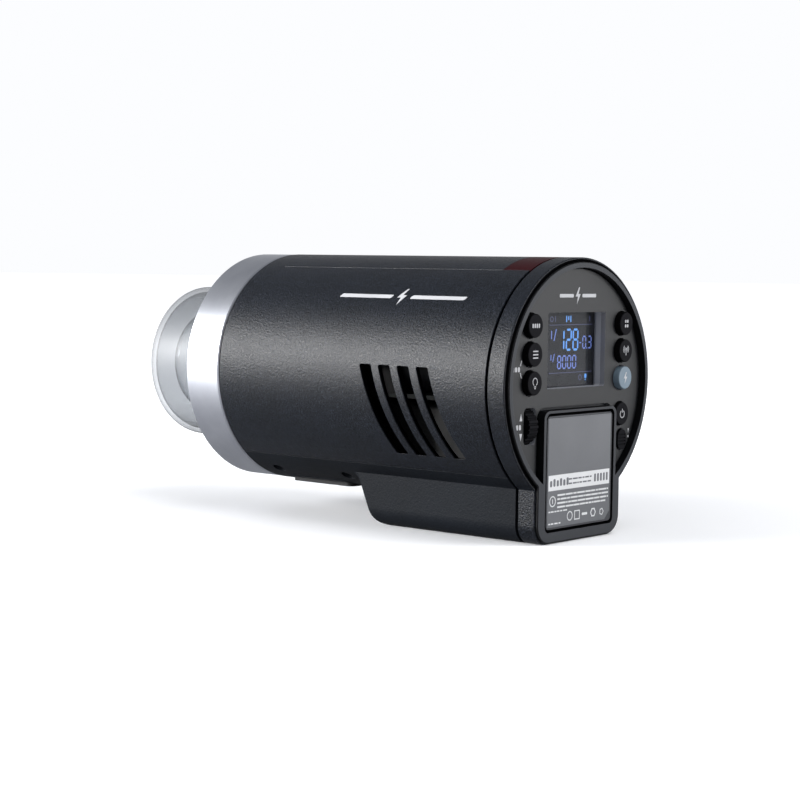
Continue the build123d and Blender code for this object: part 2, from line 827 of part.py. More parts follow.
# the latch's ramp runs parallel to the stem's corner, a cam gap away from it
# ramp_line is the depth plus the distance out, the same all along the ramp
ramp_line = stem_tip_depth - cam_corner + stem_outer + cam_gap * sqrt(2)
with BuildPart() as battery_latch:
    with BuildSketch(plan(-latch_drop + latch_height / 2)):
        with BuildLine():
            Polyline(
                (-(battery_width / 2 - latch_bite), latch_depth),
                (-(ramp_line - latch_depth), latch_depth),
                (-latch_end, ramp_line - latch_end),
                (-latch_end, latch_depth + latch_thickness),
                (-(battery_width / 2 - latch_bite), latch_depth + latch_thickness),
                close=True,
            )
        make_face()
    extrude(amount=latch_height)

# ---------------------------------------------------------------- battery bay and battery
latch_window = latch_height + 2 * latch_window_gap
with BuildPart() as battery_bay:
    with BuildSketch(cross(spigot_end)):
        down_box(
            bay_half_width + bay_wall,
            bay_top_drop - bay_wall,
            bay_bottom_drop + bay_wall,
            battery_corner + bay_wall,
        )
    extrude(amount=bay_end + bay_wall - spigot_end)
    with BuildSketch(cross(spigot_end)):
        down_box(bay_half_width, bay_top_drop, bay_bottom_drop, battery_corner)
    extrude(amount=bay_end - spigot_end, mode=Mode.SUBTRACT)
    # window in the left wall for the latch
    with BuildSketch(flank(latch_depth + latch_thickness / 2, -latch_drop, barrel_radius)):
        Rectangle(latch_thickness + 2 * latch_window_gap, latch_window)
    extrude(amount=barrel_radius - bay_half_width + bay_wall, mode=Mode.SUBTRACT)
    # slots in the end wall for the contact blades
    with BuildSketch(cross(bay_end)):
        with Locations((0, -battery_centre_drop)):
            with GridLocations(terminal_pitch, 0, terminal_count, 1):
                Rectangle(terminal_width + slide_gap, terminal_height + slide_gap)
    extrude(amount=bay_wall, mode=Mode.SUBTRACT)

with BuildPart() as bay_contacts:
    with BuildSketch(cross(bay_end)):
        with Locations((0, -battery_centre_drop)):
            with GridLocations(terminal_pitch, 0, terminal_count, 1):
                Rectangle(terminal_width, terminal_height)
    extrude(amount=bay_wall + terminal_depth)

label_half = battery_width / 2 - battery_frame
label_size = battery_width - 2 * battery_frame


def label_outline(clearance):
    """Square plate with one cut corner, less a clearance all round."""
    low = -battery_centre_drop - label_size / 2 + clearance
    high = -battery_centre_drop + label_size / 2 - clearance
    reach = label_half - clearance
    Polygon(
        (reach, low),
        (reach, high),
        (-reach, high),
        (-reach, low + label_chamfer),
        (-reach + label_chamfer, low),
        align=None,
    )


with BuildPart() as battery_case:
    with BuildSketch(cross(battery_setback)):
        down_box(battery_width / 2, battery_top_drop, battery_top_drop + battery_height, battery_corner)
    extrude(amount=battery_length)
    with BuildSketch(cross(battery_setback)):
        label_outline(0)
    extrude(amount=label_thickness, mode=Mode.SUBTRACT)
    with BuildSketch(cross(battery_setback + battery_wall)):
        down_box(
            battery_width / 2 - battery_wall,
            battery_top_drop + battery_wall,
            battery_top_drop + battery_height - battery_wall,
            battery_corner / 2,
        )
    extrude(amount=battery_length - 2 * battery_wall, mode=Mode.SUBTRACT)
    # guide channel for the latch, closed towards the cells
    guide_start = latch_depth - latch_window_gap
    with BuildSketch(cross(guide_start - guide_wall)):
        with Locations((-battery_width / 2, -latch_drop)):
            Rectangle(
                guide_depth + guide_wall, guide_height + 2 * guide_wall, align=(Align.MIN, Align.CENTER)
            )
    extrude(amount=battery_front - guide_start + guide_wall)
    with BuildSketch(cross(guide_start)):
        with Locations((-battery_width / 2, -latch_drop)):
            Rectangle(guide_depth, guide_height, align=(Align.MIN, Align.CENTER))
    extrude(amount=battery_front - guide_start, mode=Mode.SUBTRACT)
    with BuildSketch(cross(battery_front - battery_wall)):
        with Locations((0, -battery_centre_drop)):
            with GridLocations(terminal_pitch, 0, terminal_count, 1):
                Rectangle(terminal_width, terminal_height)
    extrude(amount=battery_wall, mode=Mode.SUBTRACT)

with BuildPart() as battery_label:
    with BuildSketch(cross(battery_setback)):
        label_outline(slide_gap)
    extrude(amount=label_thickness)

with BuildPart() as battery_cells:
    cell_spacing = 2 * cell_radius + slide_gap
    with BuildSketch(cross(battery_setback + battery_wall + slide_gap)):
        with Locations(((guide_depth + guide_wall - battery_wall) / 2, -battery_centre_drop)):
            with GridLocations(cell_spacing, cell_spacing, 2, 2):
                Circle(cell_radius)
    extrude(amount=battery_length - cell_end_gap)

with BuildPart() as battery_terminals:
    with BuildSketch(cross(battery_front - battery_wall)):
        with Locations((0, -battery_centre_drop)):
            with GridLocations(terminal_pitch, 0, terminal_count, 1):
                Rectangle(terminal_width, terminal_height)
    extrude(amount=battery_wall)

# ---------------------------------------------------------------- front ring and lamp
ring_inner = ring_radius - ring_wall
with BuildPart() as ring_seal:
    with BuildSketch(cross(barrel_length)):
        Circle(ring_gasket_radius)
        Circle(bore_radius - slide_gap, mode=Mode.SUBTRACT)
    extrude(amount=ring_gasket)

with BuildPart() as front_ring:
    with BuildSketch(side):
        with BuildLine():
            Polyline(
                (barrel_length + ring_gasket, ring_radius),
                (ring_front, ring_radius),
                (ring_front, ring_inner),
                (barrel_length - ring_spigot_length, ring_inner),
                (barrel_length - ring_spigot_length, bore_radius - slide_gap),
                (barrel_length + ring_gasket, bore_radius - slide_gap),
                close=True,
            )
        make_face()
    revolve(axis=barrel_axis)
    chamfer(front_ring.edges().filter_by(GeomType.CIRCLE).group_by(SortBy.RADIUS)[-1], ring_edge)
    # bayonet lugs inside the front edge
    for number in range(lug_count):
        first_angle = lug_angle - lug_arc / 2 + number * 360 / lug_count
        with BuildSketch(cross(ring_front - lug_thickness)):
            with BuildLine():
                outer_arc = CenterArc((0, 0), ring_inner + ring_wall / 2, first_angle, lug_arc)
                inner_arc = CenterArc((0, 0), ring_inner - lug_height, first_angle, lug_arc)
                Line(outer_arc @ 0, inner_arc @ 0)
                Line(outer_arc @ 1, inner_arc @ 1)
            make_face()
        extrude(amount=lug_thickness)

leg_places = [
    (sign * tube_ring_radius * sin(radians(tube_leg_angle)), -tube_ring_radius * cos(radians(tube_leg_angle)))
    for sign in (-1, 1)
]
with BuildPart() as lamp_carrier:
    with BuildSketch(cross(carrier_depth)):
        Circle(ring_inner - carrier_gap)
        with Locations(*leg_places):
            Circle(tube_radius + tube_socket_gap, mode=Mode.SUBTRACT)
    extrude(amount=carrier_thickness)


def dome_form(inset):
    """The dome's outer form as a solid, drawn in by an inset: wall, rounded corner, shallow crown."""
    corner = dome_corner - inset
    crown = dome_crown - inset
    corner_centre = dome_radius - dome_corner  # distance of the corner's centre from the axis
    crown_depth = overall_length - dome_crown
    corner_depth = crown_depth + sqrt((dome_crown - dome_corner) ** 2 - corner_centre**2)
    lean = atan2(corner_centre, corner_depth - crown_depth)
    half_turn = (lean + pi / 2) / 2
    wall_end = (corner_depth, corner_centre + corner)
    corner_middle = (corner_depth + corner * cos(half_turn), corner_centre + corner * sin(half_turn))
    crown_edge = (crown_depth + crown * cos(lean), crown * sin(lean))
    crown_middle = (crown_depth + crown * cos(lean / 2), crown * sin(lean / 2))
    tip = (crown_depth + crown, 0)
    with BuildPart() as form:
        with BuildSketch(side):
            with BuildLine():
                Polyline(tip, (carrier_front, 0), (carrier_front, wall_end[1]), wall_end)
                ThreePointArc(wall_end, corner_middle, crown_edge)
                ThreePointArc(crown_edge, crown_middle, tip)
            make_face()
        revolve(axis=barrel_axis)
    return form.part


dome_outside = dome_form(0)
dome_inside = dome_form(dome_wall)
with BuildPart() as glass_dome:
    add(dome_outside)
    add(dome_inside, mode=Mode.SUBTRACT)

with BuildPart() as dome_gasket:
    with BuildSketch(cross(carrier_front)):
        Circle(dome_radius + dome_gasket_wall)
        Circle(dome_radius, mode=Mode.SUBTRACT)
    extrude(amount=dome_gasket_height)

with BuildPart() as reflector_plate:
    with BuildSketch(cross(carrier_front)):
        Circle(dome_radius - dome_wall - reflector_gap)
        with Locations(*leg_places):
            Circle(tube_radius + tube_socket_wall + tube_socket_gap, mode=Mode.SUBTRACT)
    extrude(amount=reflector_thickness)

with BuildPart() as tube_sockets:
    with BuildSketch(cross(carrier_front)):
        with Locations(*leg_places):
            Circle(tube_radius + tube_socket_wall)
            Circle(tube_radius + tube_socket_gap, mode=Mode.SUBTRACT)
    extrude(amount=tube_socket_height)

# ring-shaped discharge tube: up one leg, round the ring and back down the other leg
with BuildPart() as flash_tube:
    start_angle = radians(270 + tube_leg_angle)
    ring_start = Plane(
        origin=(
            tube_ring_radius * cos(start_angle),
            rear_y - tube_ring_depth,
            axis_z + tube_ring_radius * sin(start_angle),
        ),
        x_dir=(cos(start_angle), 0, sin(start_angle)),
        z_dir=(-sin(start_angle), 0, cos(start_angle)),
    )
    with BuildSketch(ring_start):
        Circle(tube_radius)
    revolve(axis=Axis((0, 0, axis_z), (0, -1, 0)), revolution_arc=360 - 2 * tube_leg_angle)
    with BuildSketch(cross(carrier_depth)):
        with Locations(*leg_places):
            Circle(tube_radius)
    extrude(amount=tube_ring_depth - carrier_depth)
    with Locations(*[(x, rear_y - tube_ring_depth, axis_z + height) for x, height in leg_places]):
        Sphere(tube_radius + tube_elbow)

wire_ring_radius = tube_ring_radius - tube_radius - tube_elbow - wire_radius
with BuildPart() as trigger_wire:
    with BuildSketch(side):
        with Locations((tube_ring_depth, wire_ring_radius)):
            Circle(wire_radius)
    revolve(axis=barrel_axis)
    with BuildSketch(cross(carrier_front + reflector_thickness)):
        with Locations((0, wire_ring_radius)):
            Circle(wire_radius)
    extrude(amount=tube_ring_depth - carrier_front - reflector_thickness)

with BuildPart() as modelling_led:
    with BuildSketch(cross(carrier_front + reflector_thickness)):
        Rectangle(led_size, led_size)
    extrude(amount=led_thickness)

with BuildPart() as led_lens:
    with BuildSketch(cross(carrier_front + reflector_thickness + led_thickness)):
        Circle(led_lens_radius)
    extrude(amount=led_lens_height)
    fillet(led_lens.faces().sort_by(Axis.Y)[0].edges(), led_lens_round)

# ---------------------------------------------------------------- cooling
with BuildPart() as heat_sink:
    with BuildSketch(cross(carrier_depth - heat_sink_base)):
        Circle(heat_sink_radius)
    extrude(amount=heat_sink_base)
    with BuildSketch(cross(heat_sink_depth)):
        with GridLocations(fin_pitch, 0, fin_count, 1):
            Rectangle(fin_thickness, 2 * heat_sink_radius)
        Circle(heat_sink_radius, mode=Mode.INTERSECT)
    extrude(amount=heat_sink_length)

rotor_depth = fan_depth + fan_plate + fan_float
rotor_length = fan_thickness - fan_plate - 2 * fan_float
with BuildPart() as fan_frame:
    with BuildSketch(cross(fan_depth)):
        RectangleRounded(fan_size, fan_size, fan_corner)
        Circle(fan_bore_radius, mode=Mode.SUBTRACT)
    extrude(amount=fan_thickness)
    with BuildSketch(cross(fan_depth)):
        Circle(fan_hub_radius)
        with PolarLocations(0, fan_struts, start_angle=fan_strut_start):
            Rectangle(fan_bore_radius + fan_strut_root, fan_strut_width, align=(Align.MIN, Align.CENTER))
    extrude(amount=fan_plate)
    with BuildSketch(cross(fan_depth + fan_plate)):
        Circle(fan_shaft_radius)
    extrude(amount=rotor_length - fan_plate)

with BuildPart() as fan_rotor:
    blade_middle = rear_y - rotor_depth - rotor_length / 2
    blade_chord = (rotor_length - 2 * fan_float) / sin(radians(fan_blade_tilt))
    for number in range(fan_blades):
        angle = radians(number * 360 / fan_blades)
        blade_plane = Plane(
            origin=(0, blade_middle, axis_z),
            x_dir=(
                -sin(angle) * cos(radians(fan_blade_tilt)),
                sin(radians(fan_blade_tilt)),
                cos(angle) * cos(radians(fan_blade_tilt)),
            ),
            z_dir=(cos(angle), 0, sin(angle)),
        )
        with BuildSketch(blade_plane.offset(fan_hub_radius / 2)):
            Rectangle(blade_chord, fan_blade_thickness)
        extrude(amount=fan_bore_radius)
    with BuildSketch(cross(rotor_depth)):
        Circle(fan_rotor_radius)
    extrude(amount=rotor_length, mode=Mode.INTERSECT)
    with BuildSketch(cross(rotor_depth)):
        Circle(fan_hub_radius)
    extrude(amount=rotor_length)
    with BuildSketch(cross(rotor_depth)):
        Circle(fan_shaft_radius + fan_running_gap)
    extrude(amount=rotor_length - fan_plate, mode=Mode.SUBTRACT)

# ---------------------------------------------------------------- electronics
with BuildPart() as power_board:
    with BuildSketch(plan(-board_drop)):
        with Locations((0, (board_rear_depth + board_front_depth) / 2)):
            Rectangle(2 * board_half_width, board_front_depth - board_rear_depth)
    extrude(amount=board_thickness)

with BuildPart() as capacitors:
    with BuildSketch(cross(capacitor_depth)):
        with Locations((0, capacitor_height)):
            with GridLocations(capacitor_spacing, 0, capacitor_count, 1):
                Circle(capacitor_radius)
    extrude(amount=capacitor_length)
    fillet(capacitors.edges().filter_by(GeomType.CIRCLE), capacitor_edge)

with BuildPart() as capacitor_strap:
    strap_half = capacitor_spacing + capacitor_radius
    with BuildSketch(cross(capacitor_depth + (capacitor_length - strap_width) / 2)):
        with Locations((0, -board_drop)):
            Rectangle(
                2 * strap_half + 2 * strap_thickness,
                capacitor_height + board_drop + capacitor_radius + strap_thickness,
                align=(Align.CENTER, Align.MIN),
            )
        with Locations((0, capacitor_height + capacitor_radius + strap_thickness)):
            Rectangle(2 * strap_half, 2 * (strap_thickness + capacitor_lift), mode=Mode.SUBTRACT)
        Circle(bore_radius - relief_gap, mode=Mode.INTERSECT)
        with Locations((0, capacitor_height)):
            with GridLocations(capacitor_spacing, 0, capacitor_count, 1):
                Circle(capacitor_radius, mode=Mode.SUBTRACT)
    extrude(amount=strap_width)

core_width, core_length, core_height = transformer_size
with BuildPart() as transformer:
    with BuildSketch(plan(-board_drop + core_height)):
        with Locations((0, transformer_depth + core_length / 2)):
            Rectangle(core_width, core_length)
    extrude(amount=core_height)
    with BuildSketch(plan(-board_drop + core_height - transformer_limb)):
        with Locations((0, transformer_depth + core_length / 2)):
            Rectangle(core_width - 2 * transformer_post, core_length + 2 * transformer_bobbin)
    extrude(amount=core_height - 2 * transformer_limb)

with BuildPart() as trigger_coil:
    with BuildSketch(cross(transformer_depth)):
        with Locations((coil_column, coil_radius - board_drop)):
            Circle(coil_radius)
    extrude(amount=coil_length)


# ---------------------------------------------------------------- sockets on the left flank
with BuildPart() as sync_jack:
    jack_face = sqrt(barrel_radius**2 - jack_height**2) - jack_setback
    with BuildSketch(flank(socket_depth, jack_height, jack_face)):
        Circle(jack_nose_radius)
        Circle(jack_bore_radius, mode=Mode.SUBTRACT)
    extrude(amount=jack_length)

with BuildPart() as usb_socket:
    usb_face = sqrt(barrel_radius**2 - (usb_drop + usb_height / 2) ** 2) - jack_setback
    with BuildSketch(flank(socket_depth, -usb_drop, usb_face)):
        RectangleRounded(usb_width, usb_height, usb_corner)
    extrude(amount=usb_length)
    with BuildSketch(flank(socket_depth, -usb_drop, usb_face)):
        RectangleRounded(usb_width - 2 * usb_wall, usb_height - 2 * usb_wall, usb_corner - usb_wall)
    extrude(amount=usb_length - usb_wall, mode=Mode.SUBTRACT)

# ---------------------------------------------------------------- bracket seat and screws
with BuildPart() as bracket_plate:
    with BuildSketch(plan(-plate_proud + plate_thickness)):
        with Locations((0, plate_centre_depth)):
            RectangleRounded(2 * plate_half_width, plate_length, plate_corner)
            Circle(insert_radius, mode=Mode.SUBTRACT)
            with GridLocations(0, 2 * pin_hole_offset, 1, 2):
                Circle(pin_hole_radius, mode=Mode.SUBTRACT)
    extrude(amount=plate_thickness)
    with BuildSketch(plan(-plate_proud + plate_thickness)):
        with Locations((0, plate_centre_depth)):
            with GridLocations(2 * plate_screw_x, 2 * plate_screw_y, 2, 2):
                Circle(screw_radius)
    extrude(amount=plate_thickness, mode=Mode.SUBTRACT)
    with BuildSketch(plan(-plate_proud + screw_head)):
        with Locations((0, plate_centre_depth)):
            with GridLocations(2 * plate_screw_x, 2 * plate_screw_y, 2, 2):
                Circle(screw_head_radius)
    extrude(amount=screw_head, mode=Mode.SUBTRACT)

with BuildPart() as thread_insert:
    with BuildSketch(plan(-plate_proud + insert_length)):
        with Locations((0, plate_centre_depth)):
            Circle(insert_radius)
    extrude(amount=insert_length)
    with BuildSketch(plan(-tray_floor + tray_wall + insert_flange)):
        with Locations((0, plate_centre_depth)):
            Circle(insert_flange_radius)
    extrude(amount=insert_flange)
    with BuildSketch(plan(-plate_proud + insert_length)):
        with Locations((0, plate_centre_depth)):
            Circle(thread_radius)
    extrude(amount=insert_length, mode=Mode.SUBTRACT)


def screws(places, head_height, shank_length):
    """Round-headed screws driven upward; each has a cross recess in its head."""
    with BuildPart() as set_of_screws:
        with BuildSketch(plan(head_height + screw_head)):
            with Locations(*places):
                Circle(screw_head_radius)
        extrude(amount=screw_head)
        with BuildSketch(plan(head_height + screw_head + shank_length)):
            with Locations(*places):
                Circle(screw_radius)
        extrude(amount=shank_length)
        with BuildSketch(plan(head_height + screw_head / 2)):
            with Locations(*places):
                Rectangle(screw_head_radius, screw_cross)
                Rectangle(screw_cross, screw_head_radius)
        extrude(amount=screw_head / 2, mode=Mode.SUBTRACT)
    return set_of_screws


plate_screws = screws(
    [
        (x * plate_screw_x, plate_centre_depth + y * plate_screw_y)
        for x in (-1, 1)
        for y in (-1, 1)
    ],
    -plate_proud,
    plate_thickness - screw_head + tray_wall,
)
shell_screws = screws(
    [(sign * boss_column, depth) for sign in (-1, 1) for depth in boss_depths],
    -split_drop - screw_seat - screw_head,
    screw_length,
)

# ---------------------------------------------------------------- write one file for each piece
pieces = {
    "upper_shell": upper_shell,
    "lower_shell": lower_shell,
    "sensor_window": sensor_window,
    "rear_bezel": rear_bezel,
    "rear_frame": rear_frame,
    "control_panel": control_panel,
    "display_well": display_well,
    "display_glass": display_glass,
    "display_module": display_module,
    "control_board": control_board,
    "key_switches": key_switches,
    "mode_button": mode_button,
    "menu_button": menu_button,
    "lamp_button": lamp_button,
    "group_button": group_button,
    "wireless_button": wireless_button,
    "test_button": test_button,
    "power_button": power_button,
    "set_dial": set_dial,
    "dial_axle": dial_axle,
    "dial_carriage": dial_carriage,
    "release_button": release_button,
    "battery_latch": battery_latch,
    "battery_bay": battery_bay,
    "bay_contacts": bay_contacts,
    "battery_case": battery_case,
    "battery_label": battery_label,
    "battery_cells": battery_cells,
    "battery_terminals": battery_terminals,
    "ring_seal": ring_seal,
    "front_ring": front_ring,
    "lamp_carrier": lamp_carrier,
    "glass_dome": glass_dome,
    "dome_gasket": dome_gasket,
    "reflector_plate": reflector_plate,
    "tube_sockets": tube_sockets,
    "flash_tube": flash_tube,
    "trigger_wire": trigger_wire,
    "modelling_led": modelling_led,
    "led_lens": led_lens,
    "heat_sink": heat_sink,
    "fan_frame": fan_frame,
    "fan_rotor": fan_rotor,
    "power_board": power_board,
    "capacitors": capacitors,
    "capacitor_strap": capacitor_strap,
    "transformer": transformer,
    "trigger_coil": trigger_coil,
    "sync_jack": sync_jack,
    "usb_socket": usb_socket,
    "bracket_plate": bracket_plate,
    "thread_insert": thread_insert,
    "plate_screws": plate_screws,
    "shell_screws": shell_screws,
}
for name, piece in pieces.items():
    piece.part.label = name
    export_step(piece.part, f"parts/{name}.step")
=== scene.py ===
"""A battery monolight strobe: finishes, printed marks, floor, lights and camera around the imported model."""

import json
import math
import random

import bmesh
import bpy
from mathutils import Matrix, Vector


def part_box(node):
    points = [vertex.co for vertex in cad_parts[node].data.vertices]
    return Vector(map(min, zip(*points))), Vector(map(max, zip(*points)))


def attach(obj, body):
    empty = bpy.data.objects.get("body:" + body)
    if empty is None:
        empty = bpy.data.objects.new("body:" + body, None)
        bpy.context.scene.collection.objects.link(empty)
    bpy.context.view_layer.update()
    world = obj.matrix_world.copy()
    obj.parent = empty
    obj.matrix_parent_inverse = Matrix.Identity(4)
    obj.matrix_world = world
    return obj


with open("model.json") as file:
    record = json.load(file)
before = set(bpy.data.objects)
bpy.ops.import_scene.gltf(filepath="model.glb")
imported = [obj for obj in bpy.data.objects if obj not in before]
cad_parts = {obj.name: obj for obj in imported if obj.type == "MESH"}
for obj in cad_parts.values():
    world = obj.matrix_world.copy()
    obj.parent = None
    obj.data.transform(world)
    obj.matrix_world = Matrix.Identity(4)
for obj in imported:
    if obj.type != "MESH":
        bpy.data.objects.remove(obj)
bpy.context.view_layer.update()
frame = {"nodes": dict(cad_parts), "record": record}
random.seed(7)

MM = 0.001
AXIS_HEIGHT = 56.4 * MM
BARREL_RADIUS = 45.0 * MM


# ---------------------------------------------------------------- colours and nodes


def tone(code):
    """An sRGB hex colour as the linear colour that a shader takes."""
    parts = [int(code[i : i + 2], 16) / 255 for i in (1, 3, 5)]
    return [c / 12.92 if c <= 0.04045 else ((c + 0.055) / 1.055) ** 2.4 for c in parts] + [1.0]


def add(tree, kind, sockets=None, **settings):
    """Adds one node: settings are its own options, sockets its input values or the outputs that feed
    them."""
    made = tree.nodes.new("ShaderNode" + kind)
    for option, value in settings.items():
        setattr(made, option, value)
    for key, value in (sockets or {}).items():
        if isinstance(value, bpy.types.NodeSocket):
            tree.links.new(value, made.inputs[key])
        else:
            made.inputs[key].default_value = value
    return made


def start(name):
    """An empty material, its tree and the position on the object that its patterns are drawn from."""
    made = bpy.data.materials.new(name)
    made.use_nodes = True
    made.node_tree.nodes.clear()
    tree = made.node_tree
    place = add(tree, "TexCoord").outputs["Object"]
    return made, tree, place


def finish_with(tree, shader):
    add(tree, "OutputMaterial", {"Surface": shader})


def from_axis(tree, place):
    """How far a place is from the barrel's axis, and how far along it."""
    parts = add(tree, "SeparateXYZ", {0: place}).outputs
    rise = add(tree, "Math", {0: parts["Z"], 1: AXIS_HEIGHT}, operation="SUBTRACT").outputs[0]
    flat = add(tree, "CombineXYZ", {0: parts["X"], 1: rise}).outputs[0]
    return add(tree, "VectorMath", {0: flat}, operation="LENGTH").outputs["Value"], parts["Y"]


def worn_edge(tree, place, radius, amount):
    """A mask that is 1 on convex edges, broken up by handling, and the softened normal that goes with it."""
    soft = add(tree, "Bevel", {"Radius": radius}, samples=4).outputs[0]
    true = add(tree, "NewGeometry").outputs["Normal"]
    turn = add(tree, "VectorMath", {0: soft, 1: true}, operation="DOT_PRODUCT").outputs["Value"]
    edge = add(
        tree, "MapRange", {"Value": turn, "From Min": 0.995, "From Max": 0.86, "To Min": 0.0,
            "To Max": amount}
    ).outputs["Result"]
    rubbed = add(tree, "TexNoise", {"Vector": place, "Scale": 1 / (4 * MM), "Detail": 3.0}).outputs["Fac"]
    share = add(
        tree, "MapRange", {"Value": rubbed, "From Min": 0.35, "From Max": 0.65, "To Min": 0.35,
            "To Max": 1.0}
    ).outputs["Result"]
    mask = add(tree, "Math", {0: edge, 1: share}, operation="MULTIPLY").outputs[0]
    return mask, soft


# ---------------------------------------------------------------- kinds of finish


def moulded(
    name,
    colour,
    shade,
    worn,
    grain,
    depth,
    gloss,
    swing,
    ior=1.5,
    coat=0.0,
    sheen=0.0,
    edge=0.25 * MM,
    wear=0.6,
    glint_speckle=0.0,
    rear_facing_painted_tone=None,
    level=0.5,
    painted_shade_within=0.0,
):
    """Injection-moulded plastic: a grain of that size left by the tool, cloudy colour, edges polished by
    handling.
    With `rear_facing_painted_tone`, faces that look backwards have that colour and the rest keep the body
    colour: light and shade painted by which way a face looks.
    With `painted_shade_within`, whatever is nearer the barrel's axis than that is painted near black and
    dull, as painted shade."""
    made, tree, place = start(name)
    cells = add(tree, "TexVoronoi", {"Vector": place, "Scale": 1 / grain},
        feature="SMOOTH_F1").outputs["Distance"]
    fuzz = add(
        tree, "TexNoise", {"Vector": place, "Scale": 1.7 / grain, "Detail": 4.0, "Roughness": 0.6}
    ).outputs["Fac"]
    relief = add(tree, "Math", {0: cells, 1: fuzz}, operation="ADD").outputs[0]
    cloud = add(tree, "TexNoise", {"Vector": place, "Scale": 1 / (18 * MM), "Detail": 3.0}).outputs["Fac"]
    blend = add(tree, "MapRange", {"Value": cloud, "From Min": 0.3, "From Max": 0.7}).outputs["Result"]
    body = add(
        tree, "Mix", {0: blend, 6: tone(shade), 7: tone(colour)}, data_type="RGBA"
    ).outputs[2]
    if glint_speckle:
        # Painted glints: spots of the worn colour where the grain stands highest, for a highlight breaking on
        # the grain.
        painted_glint = add(
            tree, "MapRange", {"Value": fuzz, "From Min": 0.52, "From Max": 0.72, "To Min": 0.0,
                "To Max": glint_speckle}
        ).outputs["Result"]
        body = add(tree, "Mix", {0: painted_glint, 6: body, 7: tone(worn)}, data_type="RGBA").outputs[2]
    if rear_facing_painted_tone:
        # Painted light and shade: faces that look backwards take rear_facing_painted_tone, the rest keep the
        # body colour.
        facing = add(tree, "SeparateXYZ", {0: add(tree, "NewGeometry").outputs["Normal"]}).outputs["Y"]
        share = add(tree, "MapRange", {"Value": facing, "From Min": 0.7, "From Max": 0.97}).outputs["Result"]
        body = add(tree, "Mix", {0: share, 6: body, 7: tone(rear_facing_painted_tone)}, data_type="RGBA").outputs[2]
    mask, soft = worn_edge(tree, place, edge, wear)
    shown = add(tree, "Mix", {0: mask, 6: body, 7: tone(worn)}, data_type="RGBA").outputs[2]
    if painted_shade_within:
        # Painted shade: nearer the axis than painted_shade_within, the colour goes near black (#020203) and
        # the gloss nearly off.
        reach = from_axis(tree, place)[0]
        clear_of_painted_shade = add(tree, "MapRange", {"Value": reach, "From Min": painted_shade_within - 0.2 * MM,
            "From Max": painted_shade_within}).outputs[0]
        shown = add(tree, "Mix", {0: clear_of_painted_shade, 6: tone("#020203"), 7: shown}, data_type="RGBA").outputs[2]
        level = add(tree, "MapRange", {"Value": clear_of_painted_shade, "To Min": 0.02, "To Max": level}).outputs["Result"]
    rough = add(
        tree,
        "MapRange",
        {"Value": fuzz, "From Min": 0.3, "From Max": 0.7, "To Min": gloss - swing, "To Max": gloss + swing},
    ).outputs["Result"]
    if painted_shade_within:
        rough = add(tree, "MapRange", {"Value": clear_of_painted_shade, "To Min": 0.95, "To Max": rough}).outputs["Result"]
    bumped = add(tree, "Bump", {"Height": relief, "Distance": depth, "Strength": 1.0,
        "Normal": soft}).outputs[0]
    shader = add(
        tree,
        "BsdfPrincipled",
        {
            "Base Color": shown,
            "Roughness": rough,
            "IOR": ior,
            "Coat Weight": coat,
            "Coat Roughness": 0.25,
            "Sheen Weight": sheen,
            "Specular IOR Level": level,
            "Normal": bumped,
        },
    )
    finish_with(tree, shader.outputs[0])
    return made


def metal(name, colour, shade, worn, gloss, swing, line, depth, across, turned=False, edge=0.2 * MM):
    """Bare or anodised metal with a lay of fine lines: `across` is how much longer a line is than it is
    wide, along Z,
    and with `turned` the lines run round the barrel's axis as a lathe leaves them."""
    made, tree, place = start(name)
    if turned:
        reach, along = from_axis(tree, place)
        lay = add(tree, "CombineXYZ", {0: reach, 1: along}).outputs[0]
    else:
        lay = add(tree, "Mapping", {"Vector": place, "Scale": (1.0, 1.0, 1 / across)}).outputs[0]
    lines = add(tree, "TexNoise", {"Vector": lay, "Scale": 1 / line, "Detail": 3.0}).outputs["Fac"]
    film = add(tree, "TexNoise", {"Vector": place, "Scale": 1 / (12 * MM), "Detail": 4.0}).outputs["Fac"]
    blend = add(tree, "MapRange", {"Value": film, "From Min": 0.3, "From Max": 0.7}).outputs["Result"]
    body = add(tree, "Mix", {0: blend, 6: tone(shade), 7: tone(colour)}, data_type="RGBA").outputs[2]
    mask, soft = worn_edge(tree, place, edge, 0.8)
    shown = add(tree, "Mix", {0: mask, 6: body, 7: tone(worn)}, data_type="RGBA").outputs[2]
    rough = add(
        tree,
        "MapRange",
        {"Value": lines, "From Min": 0.3, "From Max": 0.7, "To Min": gloss - swing, "To Max": gloss + swing},
    ).outputs["Result"]
    bumped = add(tree, "Bump", {"Height": lines, "Distance": depth, "Strength": 1.0,
        "Normal": soft}).outputs[0]
    shader = add(
        tree, "BsdfPrincipled", {"Base Color": shown, "Metallic": 1.0, "Roughness": rough, "Normal": bumped}
    )
    finish_with(tree, shader.outputs[0])
    return made


